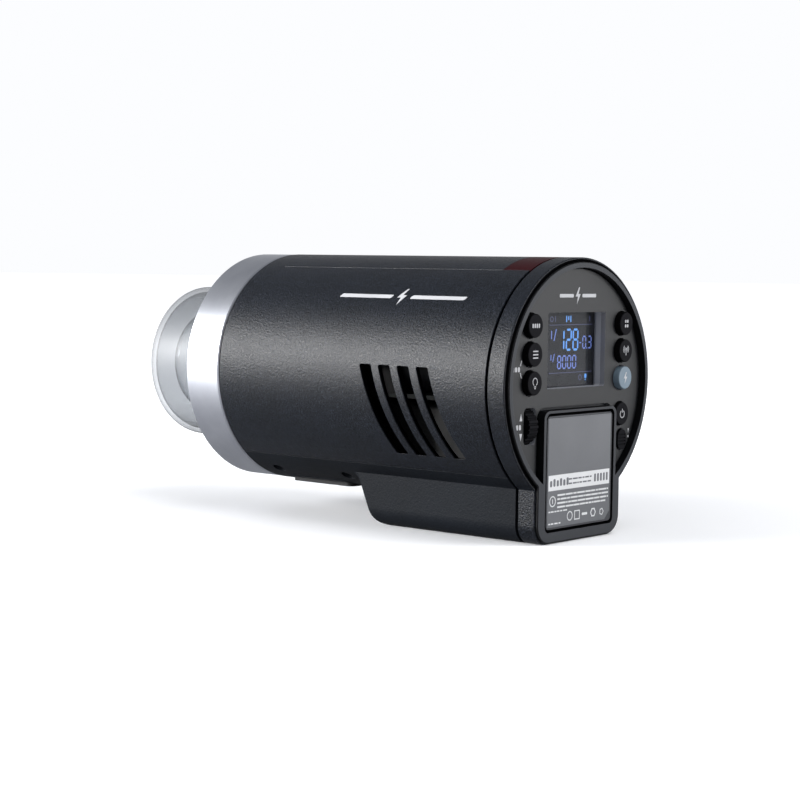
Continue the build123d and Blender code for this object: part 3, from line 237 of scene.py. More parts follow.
def clear(name, face, rim, ior, gloss, smear, grip=0.35):
    """Clear glass or plastic: lets what is behind show, greyer where it is seen on edge, with a smeared
    gloss on top."""
    made, tree, place = start(name)
    facing = add(tree, "LayerWeight", {"Blend": grip}).outputs["Facing"]
    wipe = add(tree, "TexNoise", {"Vector": place, "Scale": 1 / (9 * MM), "Detail": 5.0}).outputs["Fac"]
    haze = add(tree, "Math", {0: wipe, 1: 0.06}, operation="MULTIPLY").outputs[0]
    depth = add(tree, "Math", {0: facing, 1: haze}, operation="ADD", use_clamp=True).outputs[0]
    tint = add(tree, "Mix", {0: depth, 6: tone(face), 7: tone(rim)}, data_type="RGBA").outputs[2]
    through = add(tree, "BsdfTransparent", {"Color": tint}).outputs[0]
    ripple = add(
        tree, "Bump", {"Height": wipe, "Distance": smear, "Strength": 1.0}
    ).outputs[0]
    polish = add(
        tree, "MapRange", {"Value": wipe, "From Min": 0.3, "From Max": 0.7, "To Min": gloss,
            "To Max": gloss + 0.06}
    ).outputs["Result"]
    shine = add(tree, "BsdfGlossy", {"Roughness": polish, "Normal": ripple}).outputs[0]
    slant = add(tree, "LayerWeight", {"Blend": 0.5, "Normal": ripple}).outputs["Facing"]
    rising = add(tree, "Math", {0: slant, 1: 5.0}, operation="POWER").outputs[0]
    straight = ((ior - 1) / (ior + 1)) ** 2
    share = add(
        tree, "Math", {0: rising, 1: 1 - straight, 2: straight}, operation="MULTIPLY_ADD"
    ).outputs[0]
    both = add(tree, "MixShader", {0: share, 1: through, 2: shine}).outputs[0]
    finish_with(tree, both)
    return made


# Spark-eroded PC-ABS: the eroded tool leaves a fine pebbled skin, so a highlight breaks into bright grains,
# and lighter spots of its worn colour are painted in as glints. The real grain is about 0.15 mm; it is drawn
# at 0.6 mm, because finer would not show.
SHELL = moulded(
    "pc_abs_spark_eroded_black", "#090d14", "#06090e", "#3a404c", 0.6 * MM, 0.1 * MM, 0.38, 0.16,
    glint_speckle=1.0, wear=0.2, level=0.26,
    # The vent openings' walls, nearer the axis than 44.5 mm, are painted near black as shade.
    painted_shade_within=44.5 * MM,
)
# The lower half is a copy of the same resin, blue-black, duller and less shiny, with fewer painted glints,
# so that it renders darker: painted shade.
LOWER = moulded(
    "pc_abs_black_lower_painted_shade", "#15191f", "#12151a", "#2a2e35", 0.7 * MM, 0.08 * MM, 0.6, 0.1,
    glint_speckle=0.4, wear=0.3, level=0.12
)
# Black powder coat on steel: slightly orange-peeled, deep black.
COAT = moulded(
    "powder_coated_steel_black", "#17181a", "#121314", "#3a3b3e", 0.8 * MM, 0.02 * MM, 0.5, 0.08,
    level=0.3, wear=0.5
)
# The same resin from a polished and lightly blasted tool: smoother, near black, its rear face painted a
# shade lighter as a highlight.
RIM = moulded(
    "pc_abs_satin_dark_grey", "#090a0c", "#08090a", "#54565b", 0.35 * MM, 0.008 * MM, 0.45, 0.07,
    wear=0.7, rear_facing_painted_tone="#393b3f", level=0.2
)
# Polycarbonate panel, dark grey on the face that looks backwards; every other face, the walls of its openings
# too, is painted pale as painted light.
PANEL = moulded(
    "polycarbonate_matt_grey_panel", "#85878e", "#7c7e85", "#2c2e32", 0.3 * MM, 0.006 * MM, 0.42, 0.06,
    wear=0.4, rear_facing_painted_tone="#131518"
)
# Display surround, painted pale grey as painted light, so that its shaded walls look lit.
WELL = moulded(
    "polycarbonate_grey_well_painted_light", "#a3a6ae", "#9c9fa7", "#b4b7bf", 0.3 * MM, 0.004 * MM, 0.35, 0.05,
    wear=0.3
)
# Liquid-crystal cell behind its polariser: flat, dark, faintly purple.
CELL = moulded(
    "lcd_polariser_dark", "#26282c", "#232529", "#2c2e32", 0.6 * MM, 0.001 * MM, 0.5, 0.04, wear=0.2
)
# Black solder resist over glass-epoxy board: a green cast only where it thins, the weave just telegraphing
# through.
BOARD = moulded(
    "solder_masked_fr4_board", "#050a08", "#040706", "#0d1210", 0.5 * MM, 0.008 * MM, 0.55, 0.06,
    wear=0.7, level=0.1
)
# Moulded nylon strap: black, dry.
STRAP = moulded(
    "nylon_moulded_strap_black", "#050506", "#040405", "#101012", 0.4 * MM, 0.01 * MM, 0.65, 0.08,
    wear=0.5, level=0.1
)
# Small black switch bodies in glass-filled nylon, dry and slightly dusty.
SWITCH = moulded(
    "glass_nylon_switch_black", "#1c1c1d", "#161617", "#3b3b3d", 0.25 * MM, 0.01 * MM, 0.55, 0.1, wear=0.5
)
# Silicone keypad rubber: no hard highlight, edges rubbed slightly lighter; the tops, which look backwards,
# are painted lighter than the near-black sides, as painted light and shade.
KEY = moulded(
    "silicone_rubber_key_black", "#08080a", "#060607", "#1b1b1e", 0.35 * MM, 0.012 * MM, 0.66, 0.1,
    ior=1.43, wear=0.3, rear_facing_painted_tone="#17171a", level=0.06
)
# Frosted silicone over a lamp: pale blue-grey, with a thin coat.
LIT_KEY = moulded(
    "frosted_silicone_key_blue_grey", "#6f808e", "#64747f", "#93a4b0", 0.35 * MM, 0.01 * MM, 0.4, 0.08,
    ior=1.43, coat=0.2
)
# Zinc-plated steel: cool grey, faint tumbling marks.
STEEL = metal("zinc_plated_steel", "#a9abad", "#97999c", "#d0d2d4", 0.32, 0.08, 0.4 * MM, 0.004 * MM, 1.0)
# Acetal slide parts: slippery, slightly waxy dark grey.
CARRIAGE = moulded(
    "acetal_moulded_dark", "#161618", "#121214", "#343437", 0.3 * MM, 0.006 * MM, 0.4, 0.07, wear=0.5
)
# Gold flash over nickel on contact blades: warm, bright, wiped in the sliding direction.
GOLD = metal("gold_plated_contact", "#d9b25a", "#c79a45", "#efd48a", 0.22, 0.06, 0.15 * MM, 0.002 * MM, 6.0)
# Battery case, the shell resin with a finer blasted skin; faces that look backwards are painted lighter as a
# highlight, and its edges are lighter from wear and as painted highlight.
CASE = moulded(
    "pc_abs_blasted_battery_case", "#1b1c1f", "#17181b", "#5d5f65", 0.35 * MM, 0.012 * MM, 0.45, 0.08,
    wear=0.8, rear_facing_painted_tone="#303237"
)
# Printed polyester film: satin grey, almost flat, with a slight orange peel from its adhesive.
FILM = moulded(
    "polyester_label_satin_grey", "#66686c", "#606266", "#7c7e82", 2.2 * MM, 0.004 * MM, 0.36, 0.05,
    coat=0.15, wear=0.5
)
# Heat-shrunk PVC on the cells: glossy blue, slightly wrinkled.
WRAP = moulded(
    "pvc_shrink_wrap_blue", "#2f5f9f", "#28528c", "#7f9fcb", 2.5 * MM, 0.03 * MM, 0.28, 0.06, coat=0.3,
    wear=0.4
)
# Aluminium turned on a lathe, blasted and clear anodised: satin silver with hair lines running round it.
# The real feed lines are about 0.05 mm apart; they are drawn at 0.25 mm so that they show.
RING = metal(
    "anodised_aluminium_turned", "#d3d6dd", "#c6c9d1", "#c9ccd3", 0.36, 0.02, 0.3 * MM, 0.0006 * MM,
    1.0, turned=True, edge=0.08 * MM
)
# Extruded nitrile seal: black and dull, with a little bloom.
SEAL = moulded(
    "nitrile_rubber_seal", "#121213", "#0d0d0e", "#2c2c2e", 0.4 * MM, 0.015 * MM, 0.75, 0.1, ior=1.52,
    sheen=0.15
)
# Glass-filled PBT lamp carrier: heat-proof, matt black, with faint flow streaks.
CARRIER = moulded(
    "glass_filled_pbt_black", "#202022", "#19191b", "#3f3f42", 0.4 * MM, 0.015 * MM, 0.55, 0.1, wear=0.6
)
# White enamel fired on aluminium: bright and glossy, a slight orange peel.
ENAMEL = moulded(
    "white_enamel_reflector", "#e6e7e7", "#dcdddd", "#f2f2f2", 1.6 * MM, 0.012 * MM, 0.25, 0.06,
    coat=0.4, wear=0.3
)
# Glazed steatite: warm white, tiny pits.
CERAMIC = moulded(
    "glazed_steatite_ceramic", "#e2ddd2", "#d6d0c3", "#f0ede6", 0.5 * MM, 0.02 * MM, 0.3, 0.08,
    coat=0.5, wear=0.3
)
# Aluminium extrusion for the heat sink, dyed black when anodised: satin, drawn lines along its length.
SINK = metal("black_anodised_aluminium_fins", "#1d1e20", "#17181a", "#4c4e52", 0.38, 0.08, 0.3 * MM,
    0.006 * MM, 1.0)
# Nickel wire, drawn: bright with long scratches.
NICKEL = metal("drawn_nickel_wire", "#c9c7c0", "#b5b3ab", "#e9e7e1", 0.22, 0.06, 0.2 * MM, 0.003 * MM, 4.0)
# Phosphor over the light-emitting chips: saturated yellow, chalky.
PHOSPHOR = moulded(
    "silicone_phosphor_yellow", "#e8c436", "#dcb52a", "#f3dc7c", 0.4 * MM, 0.02 * MM, 0.5, 0.08,
    ior=1.43, wear=0.2
)
# Shrink sleeve on the capacitors: near black with a violet cast, glossy.
SLEEVE = moulded(
    "pvc_shrink_sleeve_black", "#07080b", "#060709", "#17181d", 2.0 * MM, 0.02 * MM, 0.45, 0.06,
    wear=0.5, level=0.2
)
# Sintered ferrite: charcoal, granular, dull.
FERRITE = moulded(
    "sintered_ferrite", "#343434", "#2a2a2b", "#5a5a5a", 0.3 * MM, 0.03 * MM, 0.7, 0.12, wear=0.7
)
# Brass, turned: warm yellow, fine feed lines.
BRASS = metal("turned_brass", "#cfa960", "#b8924b", "#e9cf95", 0.26, 0.06, 0.25 * MM, 0.004 * MM, 1.0)
# Infrared-pass acrylic: so dark that it only reads as maroon where the light catches its edge.
SENSOR = moulded(
    "infrared_pass_acrylic_maroon", "#2e050b", "#240307", "#4a1019", 1.5 * MM, 0.004 * MM, 0.4, 0.05,
    wear=0.3, level=0.06
)
# Borosilicate blown over a former: clear, a wall that greys towards its outline, slow ripples.
DOME = clear("borosilicate_blown_dome", "#eff0f1", "#b6b8ba", 1.47, 0.45, 0.01 * MM, grip=0.3)
# Fused quartz tube: very clear, bright lines along its edges.
QUARTZ = clear("fused_quartz_tube", "#f8f9fa", "#767b80", 1.46, 0.02, 0.01 * MM, grip=0.22)
# Cast acrylic window over the display: polished, so it throws back a faint sheet of the light behind.
WINDOW = clear("cast_acrylic_window", "#f9fafc", "#d8dbe2", 1.49, 0.08, 0.001 * MM, grip=0.2)
# Clear silicone lens over the chips.
LENS = clear("clear_silicone_lens", "#f3f4f2", "#b9bdb9", 1.43, 0.06, 0.01 * MM, grip=0.4)
# Screen-printed white ink: opaque, chalky, a touch thin in places.
INK = moulded("screen_ink_white", "#bcbdc0", "#b2b3b7", "#d2d3d6", 0.25 * MM, 0.004 * MM, 0.55, 0.08,
    wear=0.2)
# The label maker's whiter ink, laid down twice.
STRIP = moulded("screen_ink_double_white", "#dfe0e2", "#d5d6d8", "#ebecee", 0.25 * MM, 0.004 * MM, 0.55,
    0.08, wear=0.2)
# The same ink in mid grey, for the fine print on the label's white strip.
GREY_INK = moulded("screen_ink_grey", "#6d6f74", "#64666b", "#7f8186", 0.25 * MM, 0.003 * MM, 0.55,
    0.08, wear=0.2)


def lit_segments(name, colour, shade, strength):
    """Liquid-crystal segments lit from behind: even colour with a slight fall-off from the backlight."""
    made, tree, place = start(name)
    cloud = add(tree, "TexNoise", {"Vector": place, "Scale": 1 / (6 * MM), "Detail": 2.0}).outputs["Fac"]
    body = add(tree, "Mix", {0: cloud, 6: tone(shade), 7: tone(colour)}, data_type="RGBA").outputs[2]
    grit = add(tree, "TexNoise", {"Vector": place, "Scale": 1 / (0.3 * MM)}).outputs["Fac"]
    rough = add(tree, "MapRange", {"Value": grit, "To Min": 0.3, "To Max": 0.5}).outputs["Result"]
    bumped = add(tree, "Bump", {"Height": grit, "Distance": 0.002 * MM, "Strength": 1.0}).outputs[0]
    shader = add(
        tree,
        "BsdfPrincipled",
        {
            "Base Color": body,
            "Roughness": rough,
            "Emission Color": body,
            "Emission Strength": strength,
            "Normal": bumped,
        },
    )
    finish_with(tree, shader.outputs[0])
    return made


BRIGHT = lit_segments("lcd_segment_blue", "#5f9be0", "#4a86cf", 0.55)
DIM = lit_segments("lcd_segment_dim_blue", "#6478bc", "#586cac", 0.6)
RULE = lit_segments("lcd_rule_violet", "#4a4f74", "#40456a", 0.3)

BY_SLOT = {
    "textured_black": SHELL,
    "rim_black": RIM,
    "panel_grey": PANEL,
    "well_grey": WELL,
    "clear_window": WINDOW,
    "display_dark": CELL,
    "board_green": BOARD,
    "switch_black": SWITCH,
    "button_rubber": KEY,
    "button_translucent": LIT_KEY,
    "steel": STEEL,
    "carriage_plastic": CARRIAGE,
    "contact_gold": GOLD,
    "battery_plastic": CASE,
    "label_grey": FILM,
    "cell_wrap": WRAP,
    "ring_aluminium": RING,
    "seal_rubber": SEAL,
    "carrier_black": CARRIER,
    "dome_glass": DOME,
    "reflector_white": ENAMEL,
    "ceramic_white": CERAMIC,
    "tube_glass": QUARTZ,
    "trigger_nickel": NICKEL,
    "led_yellow": PHOSPHOR,
    "lens_clear": LENS,
    "capacitor_sleeve": SLEEVE,
    "ferrite": FERRITE,
    "brass": BRASS,
    "sensor_red": SENSOR,
}
BY_NODE = {"heat_sink": SINK, "lower_shell": LOWER, "bracket_plate": COAT, "plate_screws": COAT,
    "shell_screws": COAT, "capacitor_strap": STRAP}

for part in frame["nodes"].values():
    for holder in part.material_slots:
        slot_name = holder.material.name.split(".")[0] if holder.material else ""
        holder.material = BY_NODE.get(part.name) or BY_SLOT[slot_name]


# ---------------------------------------------------------------- printed and lit marks


def ribbon(points, width, closed=False):
    """Quads that follow a line of points at that width."""
    count = len(points)
    sides = []
    for i, (x, y) in enumerate(points):
        before = points[i - 1] if closed or i else points[0]
        after = points[(i + 1) % count] if closed or i < count - 1 else points[-1]
        a = Vector((x - before[0], y - before[1]))
        b = Vector((after[0] - x, after[1] - y))
        a = a.normalized() if a.length else b.normalized()
        b = b.normalized() if b.length else a
        along = (a + b).normalized()
        out = Vector((-along.y, along.x)) * (width / 2 / max(0.5, along.dot(a)))
        sides.append(((x + out.x, y + out.y), (x - out.x, y - out.y)))
    last = count if closed else count - 1
    return [
        [sides[i][0], sides[(i + 1) % count][0], sides[(i + 1) % count][1], sides[i][1]] for i in range(last)
    ]


def arc(x, y, radius, start_angle, sweep, steps=24):
    turn = [math.radians(start_angle + sweep * i / steps) for i in range(steps + 1)]
    return [(x + radius * math.cos(t), y + radius * math.sin(t)) for t in turn]


def ring_line(x, y, radius, width, steps=36):
    return ribbon(arc(x, y, radius, 0, 360, steps)[:-1], width, closed=True)


def bar(x, y, width, height, lean=0.0):
    """A rounded upright bar about its middle, its top shifted by lean."""
    w, h, cut = width / 2, height / 2, min(width, height) * 0.22
    outline = [(-w + cut, -h), (w - cut, -h), (w, -h + cut), (w, h - cut), (w - cut, h), (-w + cut, h),
        (-w, h - cut), (-w, -h + cut)]
    return [[(x + u + lean * v / h, y + v) for u, v in outline]]


def bolt(x, y, size):
    """A plain lightning bolt."""
    shape = [(0.16, 1.0), (-0.52, -0.1), (-0.06, -0.1), (-0.2, -1.0), (0.52, 0.2), (0.06, 0.2), (0.36, 1.0)]
    return [[(x + u * size, y + v * size) for u, v in shape]]


SEGMENTS = {
    "0": "abcdef",
    "1": "bc",
    "2": "abged",
    "3": "abgcd",
    "4": "fgbc",
    "5": "afgcd",
    "6": "afgedc",
    "7": "abc",
    "8": "abcdefg",
    "9": "abcdfg",
    "-": "g",
}


def digit(mark, x, y, width, height, thick):
    """One seven-segment figure standing on y with its left side at x."""
    gap, half = thick * 0.16, height / 2
    lies = {
        "a": (x, y + height, x + width, y + height),
        "g": (x, y + half, x + width, y + half),
        "d": (x, y, x + width, y),
        "f": (x, y + half, x, y + height),
        "b": (x + width, y + half, x + width, y + height),
        "e": (x, y, x, y + half),
        "c": (x + width, y, x + width, y + half),
    }
    made = []
    for key in SEGMENTS[mark]:
        x0, y0, x1, y1 = lies[key]
        t, g = thick / 2, gap + thick * 0.1
        if y0 == y1:
            made.append(
                [(x0 + g, y0), (x0 + g + t, y0 - t), (x1 - g - t, y0 - t), (x1 - g, y0), (x1 - g - t,
                    y0 + t), (x0 + g + t, y0 + t)]
            )
        else:
            made.append(
                [(x0, y0 + g), (x0 + t, y0 + g + t), (x0 + t, y1 - g - t), (x0, y1 - g), (x0 - t,
                    y1 - g - t), (x0 - t, y0 + g + t)]
            )
    return made


def slash(x, y, height, width, lean):
    return [[(x, y), (x + width, y), (x + width + lean, y + height), (x + lean, y + height)]]


def words(x0, x1, y, height, seed, gap=0.5, longest=3.2):
    """A row of short bars between x0 and x1 that stands for a line of fine print."""
    chance = random.Random(seed)
    made, x = [], x0
    while x < x1 - 0.3:
        length = min(chance.uniform(0.9, longest), x1 - x)
        made += [[(x, y), (x + length, y), (x + length, y + height), (x, y + height)]]
        x += length + gap * chance.uniform(0.6, 1.2)
    return made


def rear(depth_mm):
    """Places a mark on a face that looks backwards: across to the viewer's right, up, and out of the
    face."""
    return lambda u, v, w: Vector((-u * MM, (depth_mm + w) * MM, AXIS_HEIGHT + v * MM))


def flank(y_mm, angle):
    """Places a mark on the barrel's side about one length and angle."""

    def put(u, v, w):
        r = BARREL_RADIUS + w * MM
        turn = math.radians(angle) + v * MM / BARREL_RADIUS
        return Vector((r * math.cos(turn), (y_mm + u) * MM, AXIS_HEIGHT + r * math.sin(turn)))

    return put


def printed(name, shapes, place, finish, body, thick=0.05, fine=0.0):
    """Builds flat shapes, given in millimetres, as one thin raised piece on a face."""
    mesh = bmesh.new()
    for outline in shapes:
        corners = [mesh.verts.new((u, v, 0)) for u, v in outline]
        mesh.faces.new(corners)
    bmesh.ops.recalc_face_normals(mesh, faces=mesh.faces)
    for face in mesh.faces:
        if face.normal.z < 0:
            face.normal_flip()
    if fine:
        low = min(v.co.y for v in mesh.verts)
        high = max(v.co.y for v in mesh.verts)
        for i in range(1, int((high - low) / fine) + 1):
            everything = mesh.verts[:] + mesh.edges[:] + mesh.faces[:]
            bmesh.ops.bisect_plane(mesh, geom=everything, plane_co=(0, low + i * fine, 0), plane_no=(0,
                1, 0))
    flat = mesh.faces[:]
    raised = bmesh.ops.extrude_face_region(mesh, geom=flat, use_keep_orig=True)
    tops = [g for g in raised["geom"] if isinstance(g, bmesh.types.BMVert)]
    for v in tops:
        v.co.z = thick
    bmesh.ops.recalc_face_normals(mesh, faces=mesh.faces)
    for v in mesh.verts:
        v.co = place(*v.co)
    bmesh.ops.recalc_face_normals(mesh, faces=mesh.faces)
    data = bpy.data.meshes.new(name)
    mesh.to_mesh(data)
    mesh.free()
    piece = bpy.data.objects.new(name, data)
    bpy.context.scene.collection.objects.link(piece)
    data.materials.append(finish)
    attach(piece, body)
    return piece


def body_of(node):
    for body, members in frame["record"]["behaviour"]["bodies"].items():
        if node in members:
            return body


def face_of(node):
    """The middle of a node across and up, and how far back it reaches, in millimetres from the barrel's
    axis."""
    low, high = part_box(node)
    return (low.x + high.x) / 2 / MM, ((low.z + high.z) / 2 - AXIS_HEIGHT) / MM, high.y / MM


def key_mark(node, name, shapes):
    x, z, back = face_of(node)
    moved = [[(u - x, v + z) for u, v in s] for s in shapes]
    printed(name, moved, rear(back), INK, body_of(node))


squares = [s for i in range(4) for s in bar(-1.8 + 1.2 * i, 0, 0.72, 1.5)]
key_mark("mode_button", "mode_mark", squares)
key_mark("menu_button", "menu_mark", [s for i in (-1, 0, 1) for s in bar(0, 1.15 * i, 3.0, 0.46)])
lamp_shapes = ribbon(arc(0, 0.55, 1.3, -62, 304), 0.32)
lamp_shapes += bar(0, -1.15, 1.2, 0.34) + bar(0, -1.75, 0.9, 0.34)
key_mark("lamp_button", "lamp_mark", lamp_shapes)
pairs = [s for i in (0, 1) for j in (-1, 1) for s in bar(-0.65 + 1.3 * i, 0.85 * j, 0.85, 1.1)]
key_mark("group_button", "group_mark", pairs)
waves = bar(0, -0.75, 0.42, 1.9) + ring_line(0, 0.55, 0.32, 0.34, 16)
for side in (0, 180):
    waves += ribbon(arc(0, 0.55, 1.0, side - 48, 96, 10), 0.3)
    waves += ribbon(arc(0, 0.55, 1.65, side - 48, 96, 12), 0.3)
key_mark("wireless_button", "wireless_mark", waves)
key_mark("test_button", "test_mark", bolt(0, 0, 2.1))
power = ribbon(arc(0, -0.15, 1.35, 122, 296), 0.36) + bar(0, 1.05, 0.4, 1.5)
key_mark("power_button", "power_mark", power)

panel_back = face_of("control_panel")[2]
# A bolt between two plain strokes stands over the display.
CREST_HEIGHT = 31.3
crest = bolt(0, CREST_HEIGHT, 3.0) + bar(-7.0, CREST_HEIGHT, 8.6, 1.3) + bar(7.0, CREST_HEIGHT, 8.6, 1.3)
printed("panel_crest", crest, rear(panel_back), INK, "housing")
# Reset ticks beside the menu and lamp keys, the dial's arrows and bar, and the release key's arrow.
beside = [[(-33.2 - 0.2, 8.9), (-32.9, 9.1), (-33.5, 7.2), (-34.0, 7.0)], [(-34.0, 4.9), (-33.5, 4.7),
    (-32.9, 2.8), (-33.4, 3.0)]]
beside += [s for i in range(3) for s in bar(-37.8 + 1.6 * i, 5.9, 1.1, 1.7)]
beside += [[(-32.9, -9.4), (-33.7, -12.0), (-32.1, -12.0)], [(-32.9, -19.0), (-32.1, -16.4), (-33.7, -16.4)]]
beside += [s for i in range(3) for s in bar(-36.6 + 1.6 * i, -14.2, 1.1, 1.8)]
beside += [[(34.0, -18.2), (34.8, -18.2), (34.4, -20.0)], [(33.9, -20.8), (34.6, -20.8), (34.6, -21.5),
    (33.9, -21.5)]]
printed("panel_marks", beside, rear(panel_back), INK, "housing")

# The barrel's side carries the same crest, larger.
side_marks = bolt(0, 0, 3.9) + bar(-17.0, 0.0, 25.0, 1.7, 0.5) + bar(17.0, 0.0, 25.0, 1.7, 0.5)
printed("barrel_crest", side_marks, flank(43.0, 41.5), INK, "housing", fine=0.7)

# The display's reading: a made-up power fraction, its offset, a shutter figure, rules and icons.
SEGMENT_THICK = 0.04
cell_back = face_of("display_module")[2] + 0.1
low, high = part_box("display_glass")
mid_z = ((low.z + high.z) / 2 - AXIS_HEIGHT) / MM
reading = digit("1", -4.2, mid_z - 0.1, 2.6, 7.2, 0.8) + digit("2", 0.0, mid_z - 0.1, 2.9, 7.2, 0.8)
reading += digit("8", 4.2, mid_z - 0.1, 2.9, 7.2, 0.8)
printed("display_reading", reading, rear(cell_back), BRIGHT, "housing", SEGMENT_THICK)
small = bar(-9.2, mid_z + 5.4, 0.5, 3.0) + slash(-7.9, mid_z + 3.2, 4.2, 0.5, 1.3)
small += digit("0", 10.3, mid_z + 0.3, 1.9, 4.2, 0.55) + digit("3", 13.7, mid_z + 0.3, 1.9, 4.2, 0.55)
small += bar(12.95, mid_z + 0.3, 0.5, 0.6) + bar(8.7, mid_z + 2.3, 1.2, 0.45)
small += bar(-9.3, mid_z - 2.7, 0.45, 2.0) + slash(-8.4, mid_z - 4.3, 2.9, 0.45, 0.9)
for i, figure in enumerate("8000"):
    small += digit(figure, -5.2 + 3.1 * i, mid_z - 6.7, 2.0, 4.4, 0.55)
printed("display_figures", small, rear(cell_back), DIM, "housing", SEGMENT_THICK)
rules = bar(2.9, mid_z + 8.9, 26.6, 0.2) + bar(2.9, mid_z - 8.3, 26.6, 0.2)
rules += ring_line(-9.2, mid_z + 11.0, 0.85, 0.3, 20) + bar(-7.0, mid_z + 11.0, 0.35, 1.9)
rules += bar(14.4, mid_z + 11.0, 0.35, 1.9) + ring_line(9.0, mid_z - 10.3, 0.9, 0.32, 20)
printed("display_rules", rules, rear(cell_back), RULE, "housing", SEGMENT_THICK)
icons = bar(-0.1, mid_z + 11.0, 0.6, 2.3) + bar(1.2, mid_z + 11.3, 0.6, 1.5) + bar(2.5, mid_z + 11.0,
    0.6, 2.3)
icons += bar(12.4, mid_z - 9.9, 1.3, 1.6) + bar(12.4, mid_z - 11.2, 0.6, 0.5)
printed("display_icons", icons, rear(cell_back), BRIGHT, "housing", SEGMENT_THICK)

# The battery's label: a white strip with grey fine print, rows of print and plain icons under it.
STRIP_THICK = 0.02
film_back = face_of("battery_label")[2]
strip = [[(-19.0, -37.4), (19.0, -37.4), (19.0, -31.9), (-19.0, -31.9)]]
printed("label_strip", strip, rear(film_back), STRIP, "battery", STRIP_THICK)
fine_print = [s for i in range(6) for s in bar(-17.4 + 2.0 * i, -34.9 + 0.3 * (i % 2), 1.3,
    2.2 + 0.5 * (i % 2))]
fine_print += [s for i in range(5) for s in bar(9.8 + 1.9 * i, -34.6, 1.15, 2.9)]
fine_print += words(-6.6, 7.6, -34.2, 0.55, 11) + words(-6.6, 7.6, -35.8, 0.55, 12)
printed("label_strip_print", fine_print, rear(film_back + STRIP_THICK), GREY_INK, "battery",
    STRIP_THICK)
rows = []
for i in range(4):
    rows += words(-13.4, 18.4 - 1.5 * (i == 3), -39.5 - 1.42 * i, 0.62, 20 + i, 0.35, 5.2)
rows += words(-18.6, -7.0, -45.1, 0.5, 31) + words(-18.6, -10.6, -49.4, 0.5, 32)
rows += ring_line(-16.3, -41.2, 1.75, 0.42, 24) + bar(-16.3, -41.2, 0.4, 1.7)
rows += ring_line(-5.6, -47.2, 1.55, 0.4, 24) + ribbon([(-2.6, -48.7), (-2.6, -45.7), (0.4, -45.7),
    (0.4, -48.7)], 0.4, True)
rows += bar(3.6, -47.2, 3.4, 0.9) + ring_line(9.0, -47.2, 1.5, 0.5, 6) + ring_line(14.4, -47.4, 1.2, 0.35, 5)
printed("label_print", rows, rear(film_back), STRIP, "battery", 0.03)


# ---------------------------------------------------------------- floor, light and camera

floor_mesh = bmesh.new()
rings, spokes = 14, 72
previous = [floor_mesh.verts.new((0, 0, 0))] * spokes
for i in range(1, rings + 1):
    reach = 14.0 * (i / rings) ** 2
    current = [
        floor_mesh.verts.new((reach * math.cos(math.tau * j / spokes),
            reach * math.sin(math.tau * j / spokes), 0))
        for j in range(spokes)
    ]
    for j in range(spokes):
        k = (j + 1) % spokes
        corners = [previous[j], current[j], current[k], previous[k]]
        floor_mesh.faces.new(corners if i > 1 else corners[:3])
    previous = current
floor_data = bpy.data.meshes.new("floor")
floor_mesh.to_mesh(floor_data)
floor_mesh.free()
floor = bpy.data.objects.new("floor", floor_data)
floor.location.z = -0.05 * MM
bpy.context.scene.collection.objects.link(floor)
# Matt white board that glows more the further out it is, as painted light, so that it runs into the
# background with no line.
board, tree, place = start("painted_board_floor")
grit = add(tree, "TexNoise", {"Vector": place, "Scale": 1 / (3 * MM), "Detail": 4.0}).outputs["Fac"]
tint = add(tree, "Mix", {0: grit, 6: tone("#f1f2f4"), 7: tone("#f8f9fb")}, data_type="RGBA").outputs[2]
# It looks white, but throws back less light than that, so that the underside stays dark.
seen = add(tree, "LightPath").outputs["Is Camera Ray"]
tint = add(tree, "Mix", {0: seen, 6: tone("#7d7e82"), 7: tint}, data_type="RGBA").outputs[2]
reach = add(tree, "VectorMath", {0: place}, operation="LENGTH").outputs["Value"]
# Painted light: the board's own glow, rising with distance from the middle.
wash = add(
    tree, "MapRange", {"Value": reach, "From Min": 0.12, "From Max": 0.6, "To Min": 0.12, "To Max": 0.8}
).outputs["Result"]
bumped = add(tree, "Bump", {"Height": grit, "Distance": 0.02 * MM, "Strength": 1.0}).outputs[0]
shader = add(
    tree,
    "BsdfPrincipled",
    {
        "Base Color": tint,
        "Roughness": 0.85,
        "Emission Color": tone("#fbfcff"),
        "Emission Strength": wash,
        "Specular IOR Level": 0.1,
        "Normal": bumped,
    },
)
finish_with(tree, shader.outputs[0])
floor_data.materials.append(board)

world = bpy.data.worlds.new("studio")
world.use_nodes = True
bpy.context.scene.world = world
sky = world.node_tree
sky.nodes.clear()
ray = add(sky, "TexCoord").outputs["Generated"]
height = add(sky, "SeparateXYZ", {0: ray}).outputs["Z"]
upper = add(
    sky, "MapRange", {"Value": height, "From Min": 0.2, "From Max": 0.5, "To Min": 0.0, "To Max": 1.0}
).outputs["Result"]
shade = add(sky, "Mix", {0: upper, 6: tone("#fcfdff"), 7: tone("#bcbec3")}, data_type="RGBA").outputs[2]
# The room is white where it is looked at, but dimmer as a source of light, so that black parts stay black.
seen = add(sky, "LightPath").outputs["Is Camera Ray"]
power_of_room = add(sky, "MapRange", {"Value": seen, "To Min": 0.55, "To Max": 1.0}).outputs["Result"]
add(
    sky,
    "OutputWorld",
    {"Surface": add(sky, "Background", {"Color": shade, "Strength": power_of_room}).outputs[0]},
)


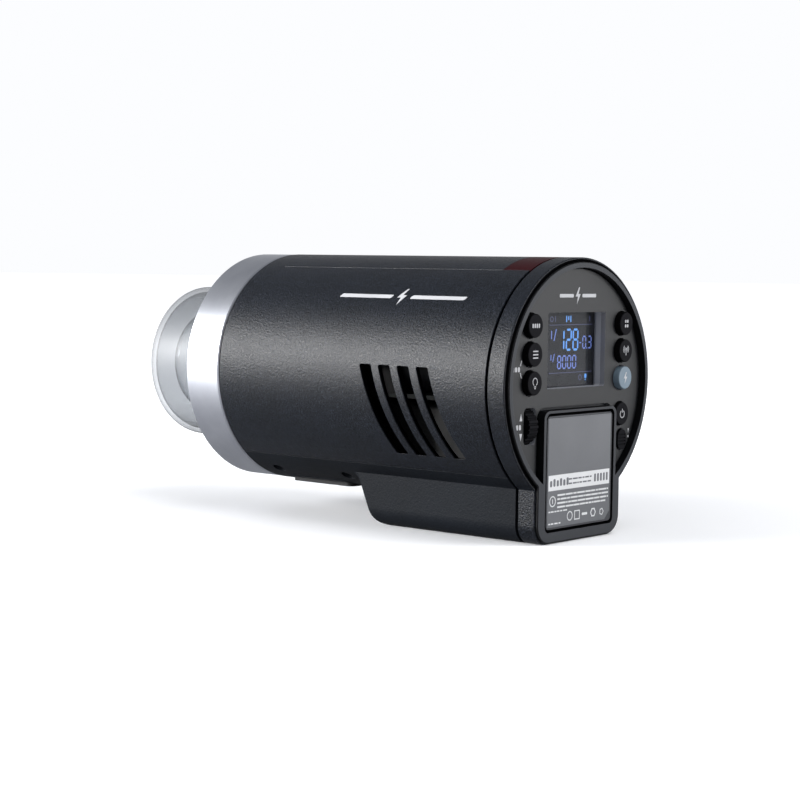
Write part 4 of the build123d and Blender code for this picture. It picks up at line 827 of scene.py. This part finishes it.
def softbox(name, azimuth, elevation, distance, width, tall, power):
    """A soft square light that faces the barrel. Azimuth is measured as the views are, from -Y towards
    +X."""
    data = bpy.data.lights.new(name, "AREA")
    data.shape = "RECTANGLE"
    data.size, data.size_y, data.energy = width, tall, power
    a, e = math.radians(azimuth), math.radians(elevation)
    way = Vector((math.sin(a) * math.cos(e), -math.cos(a) * math.cos(e), math.sin(e)))
    made = bpy.data.objects.new(name, data)
    made.location = Vector((0, 0, AXIS_HEIGHT)) + way * distance
    made.rotation_mode = "QUATERNION"
    made.rotation_quaternion = (-way).to_track_quat("-Z", "Y")
    bpy.context.scene.collection.objects.link(made)
    return made


softbox("side_box", 50, 14, 1.3, 0.9, 0.4, 29.0)
softbox("rear_box", 208, 12, 1.3, 0.55, 0.6, 9.0)
# The wash is left out of glossy reflections, so it gives no highlight on the barrel.
softbox("floor_wash", 180, 62, 2.0, 1.4, 1.4, 22.0).visible_glossy = False

CAMERA_PLACE = (0.55707, 0.48474, 0.09747)
AZIMUTH, ELEVATION, ROLL = math.radians(130.18), math.radians(4.07), math.radians(0.84)
back = Vector(
    (
        math.sin(AZIMUTH) * math.cos(ELEVATION),
        -math.cos(AZIMUTH) * math.cos(ELEVATION),
        math.sin(ELEVATION),
    )
)
right = (-back).cross(Vector((0, 0, 1))).normalized()
up = right.cross(-back)
across = right * math.cos(ROLL) + up * math.sin(ROLL)
above = up * math.cos(ROLL) - right * math.sin(ROLL)
bpy.context.scene.cycles.transparent_max_bounces = 32
camera_data = bpy.data.cameras.new("camera")
camera_data.lens, camera_data.sensor_width = 84.96, 36.0
camera_data.clip_start, camera_data.clip_end = 0.01, 60.0
camera = bpy.data.objects.new("camera", camera_data)
camera.matrix_world = Matrix(
    (
        (across.x, above.x, back.x, CAMERA_PLACE[0]),
        (across.y, above.y, back.y, CAMERA_PLACE[1]),
        (across.z, above.z, back.z, CAMERA_PLACE[2]),
        (0, 0, 0, 1),
    )
)
bpy.context.scene.collection.objects.link(camera)
bpy.context.scene.camera = camera
bpy.context.scene.view_settings.view_transform = "Standard"
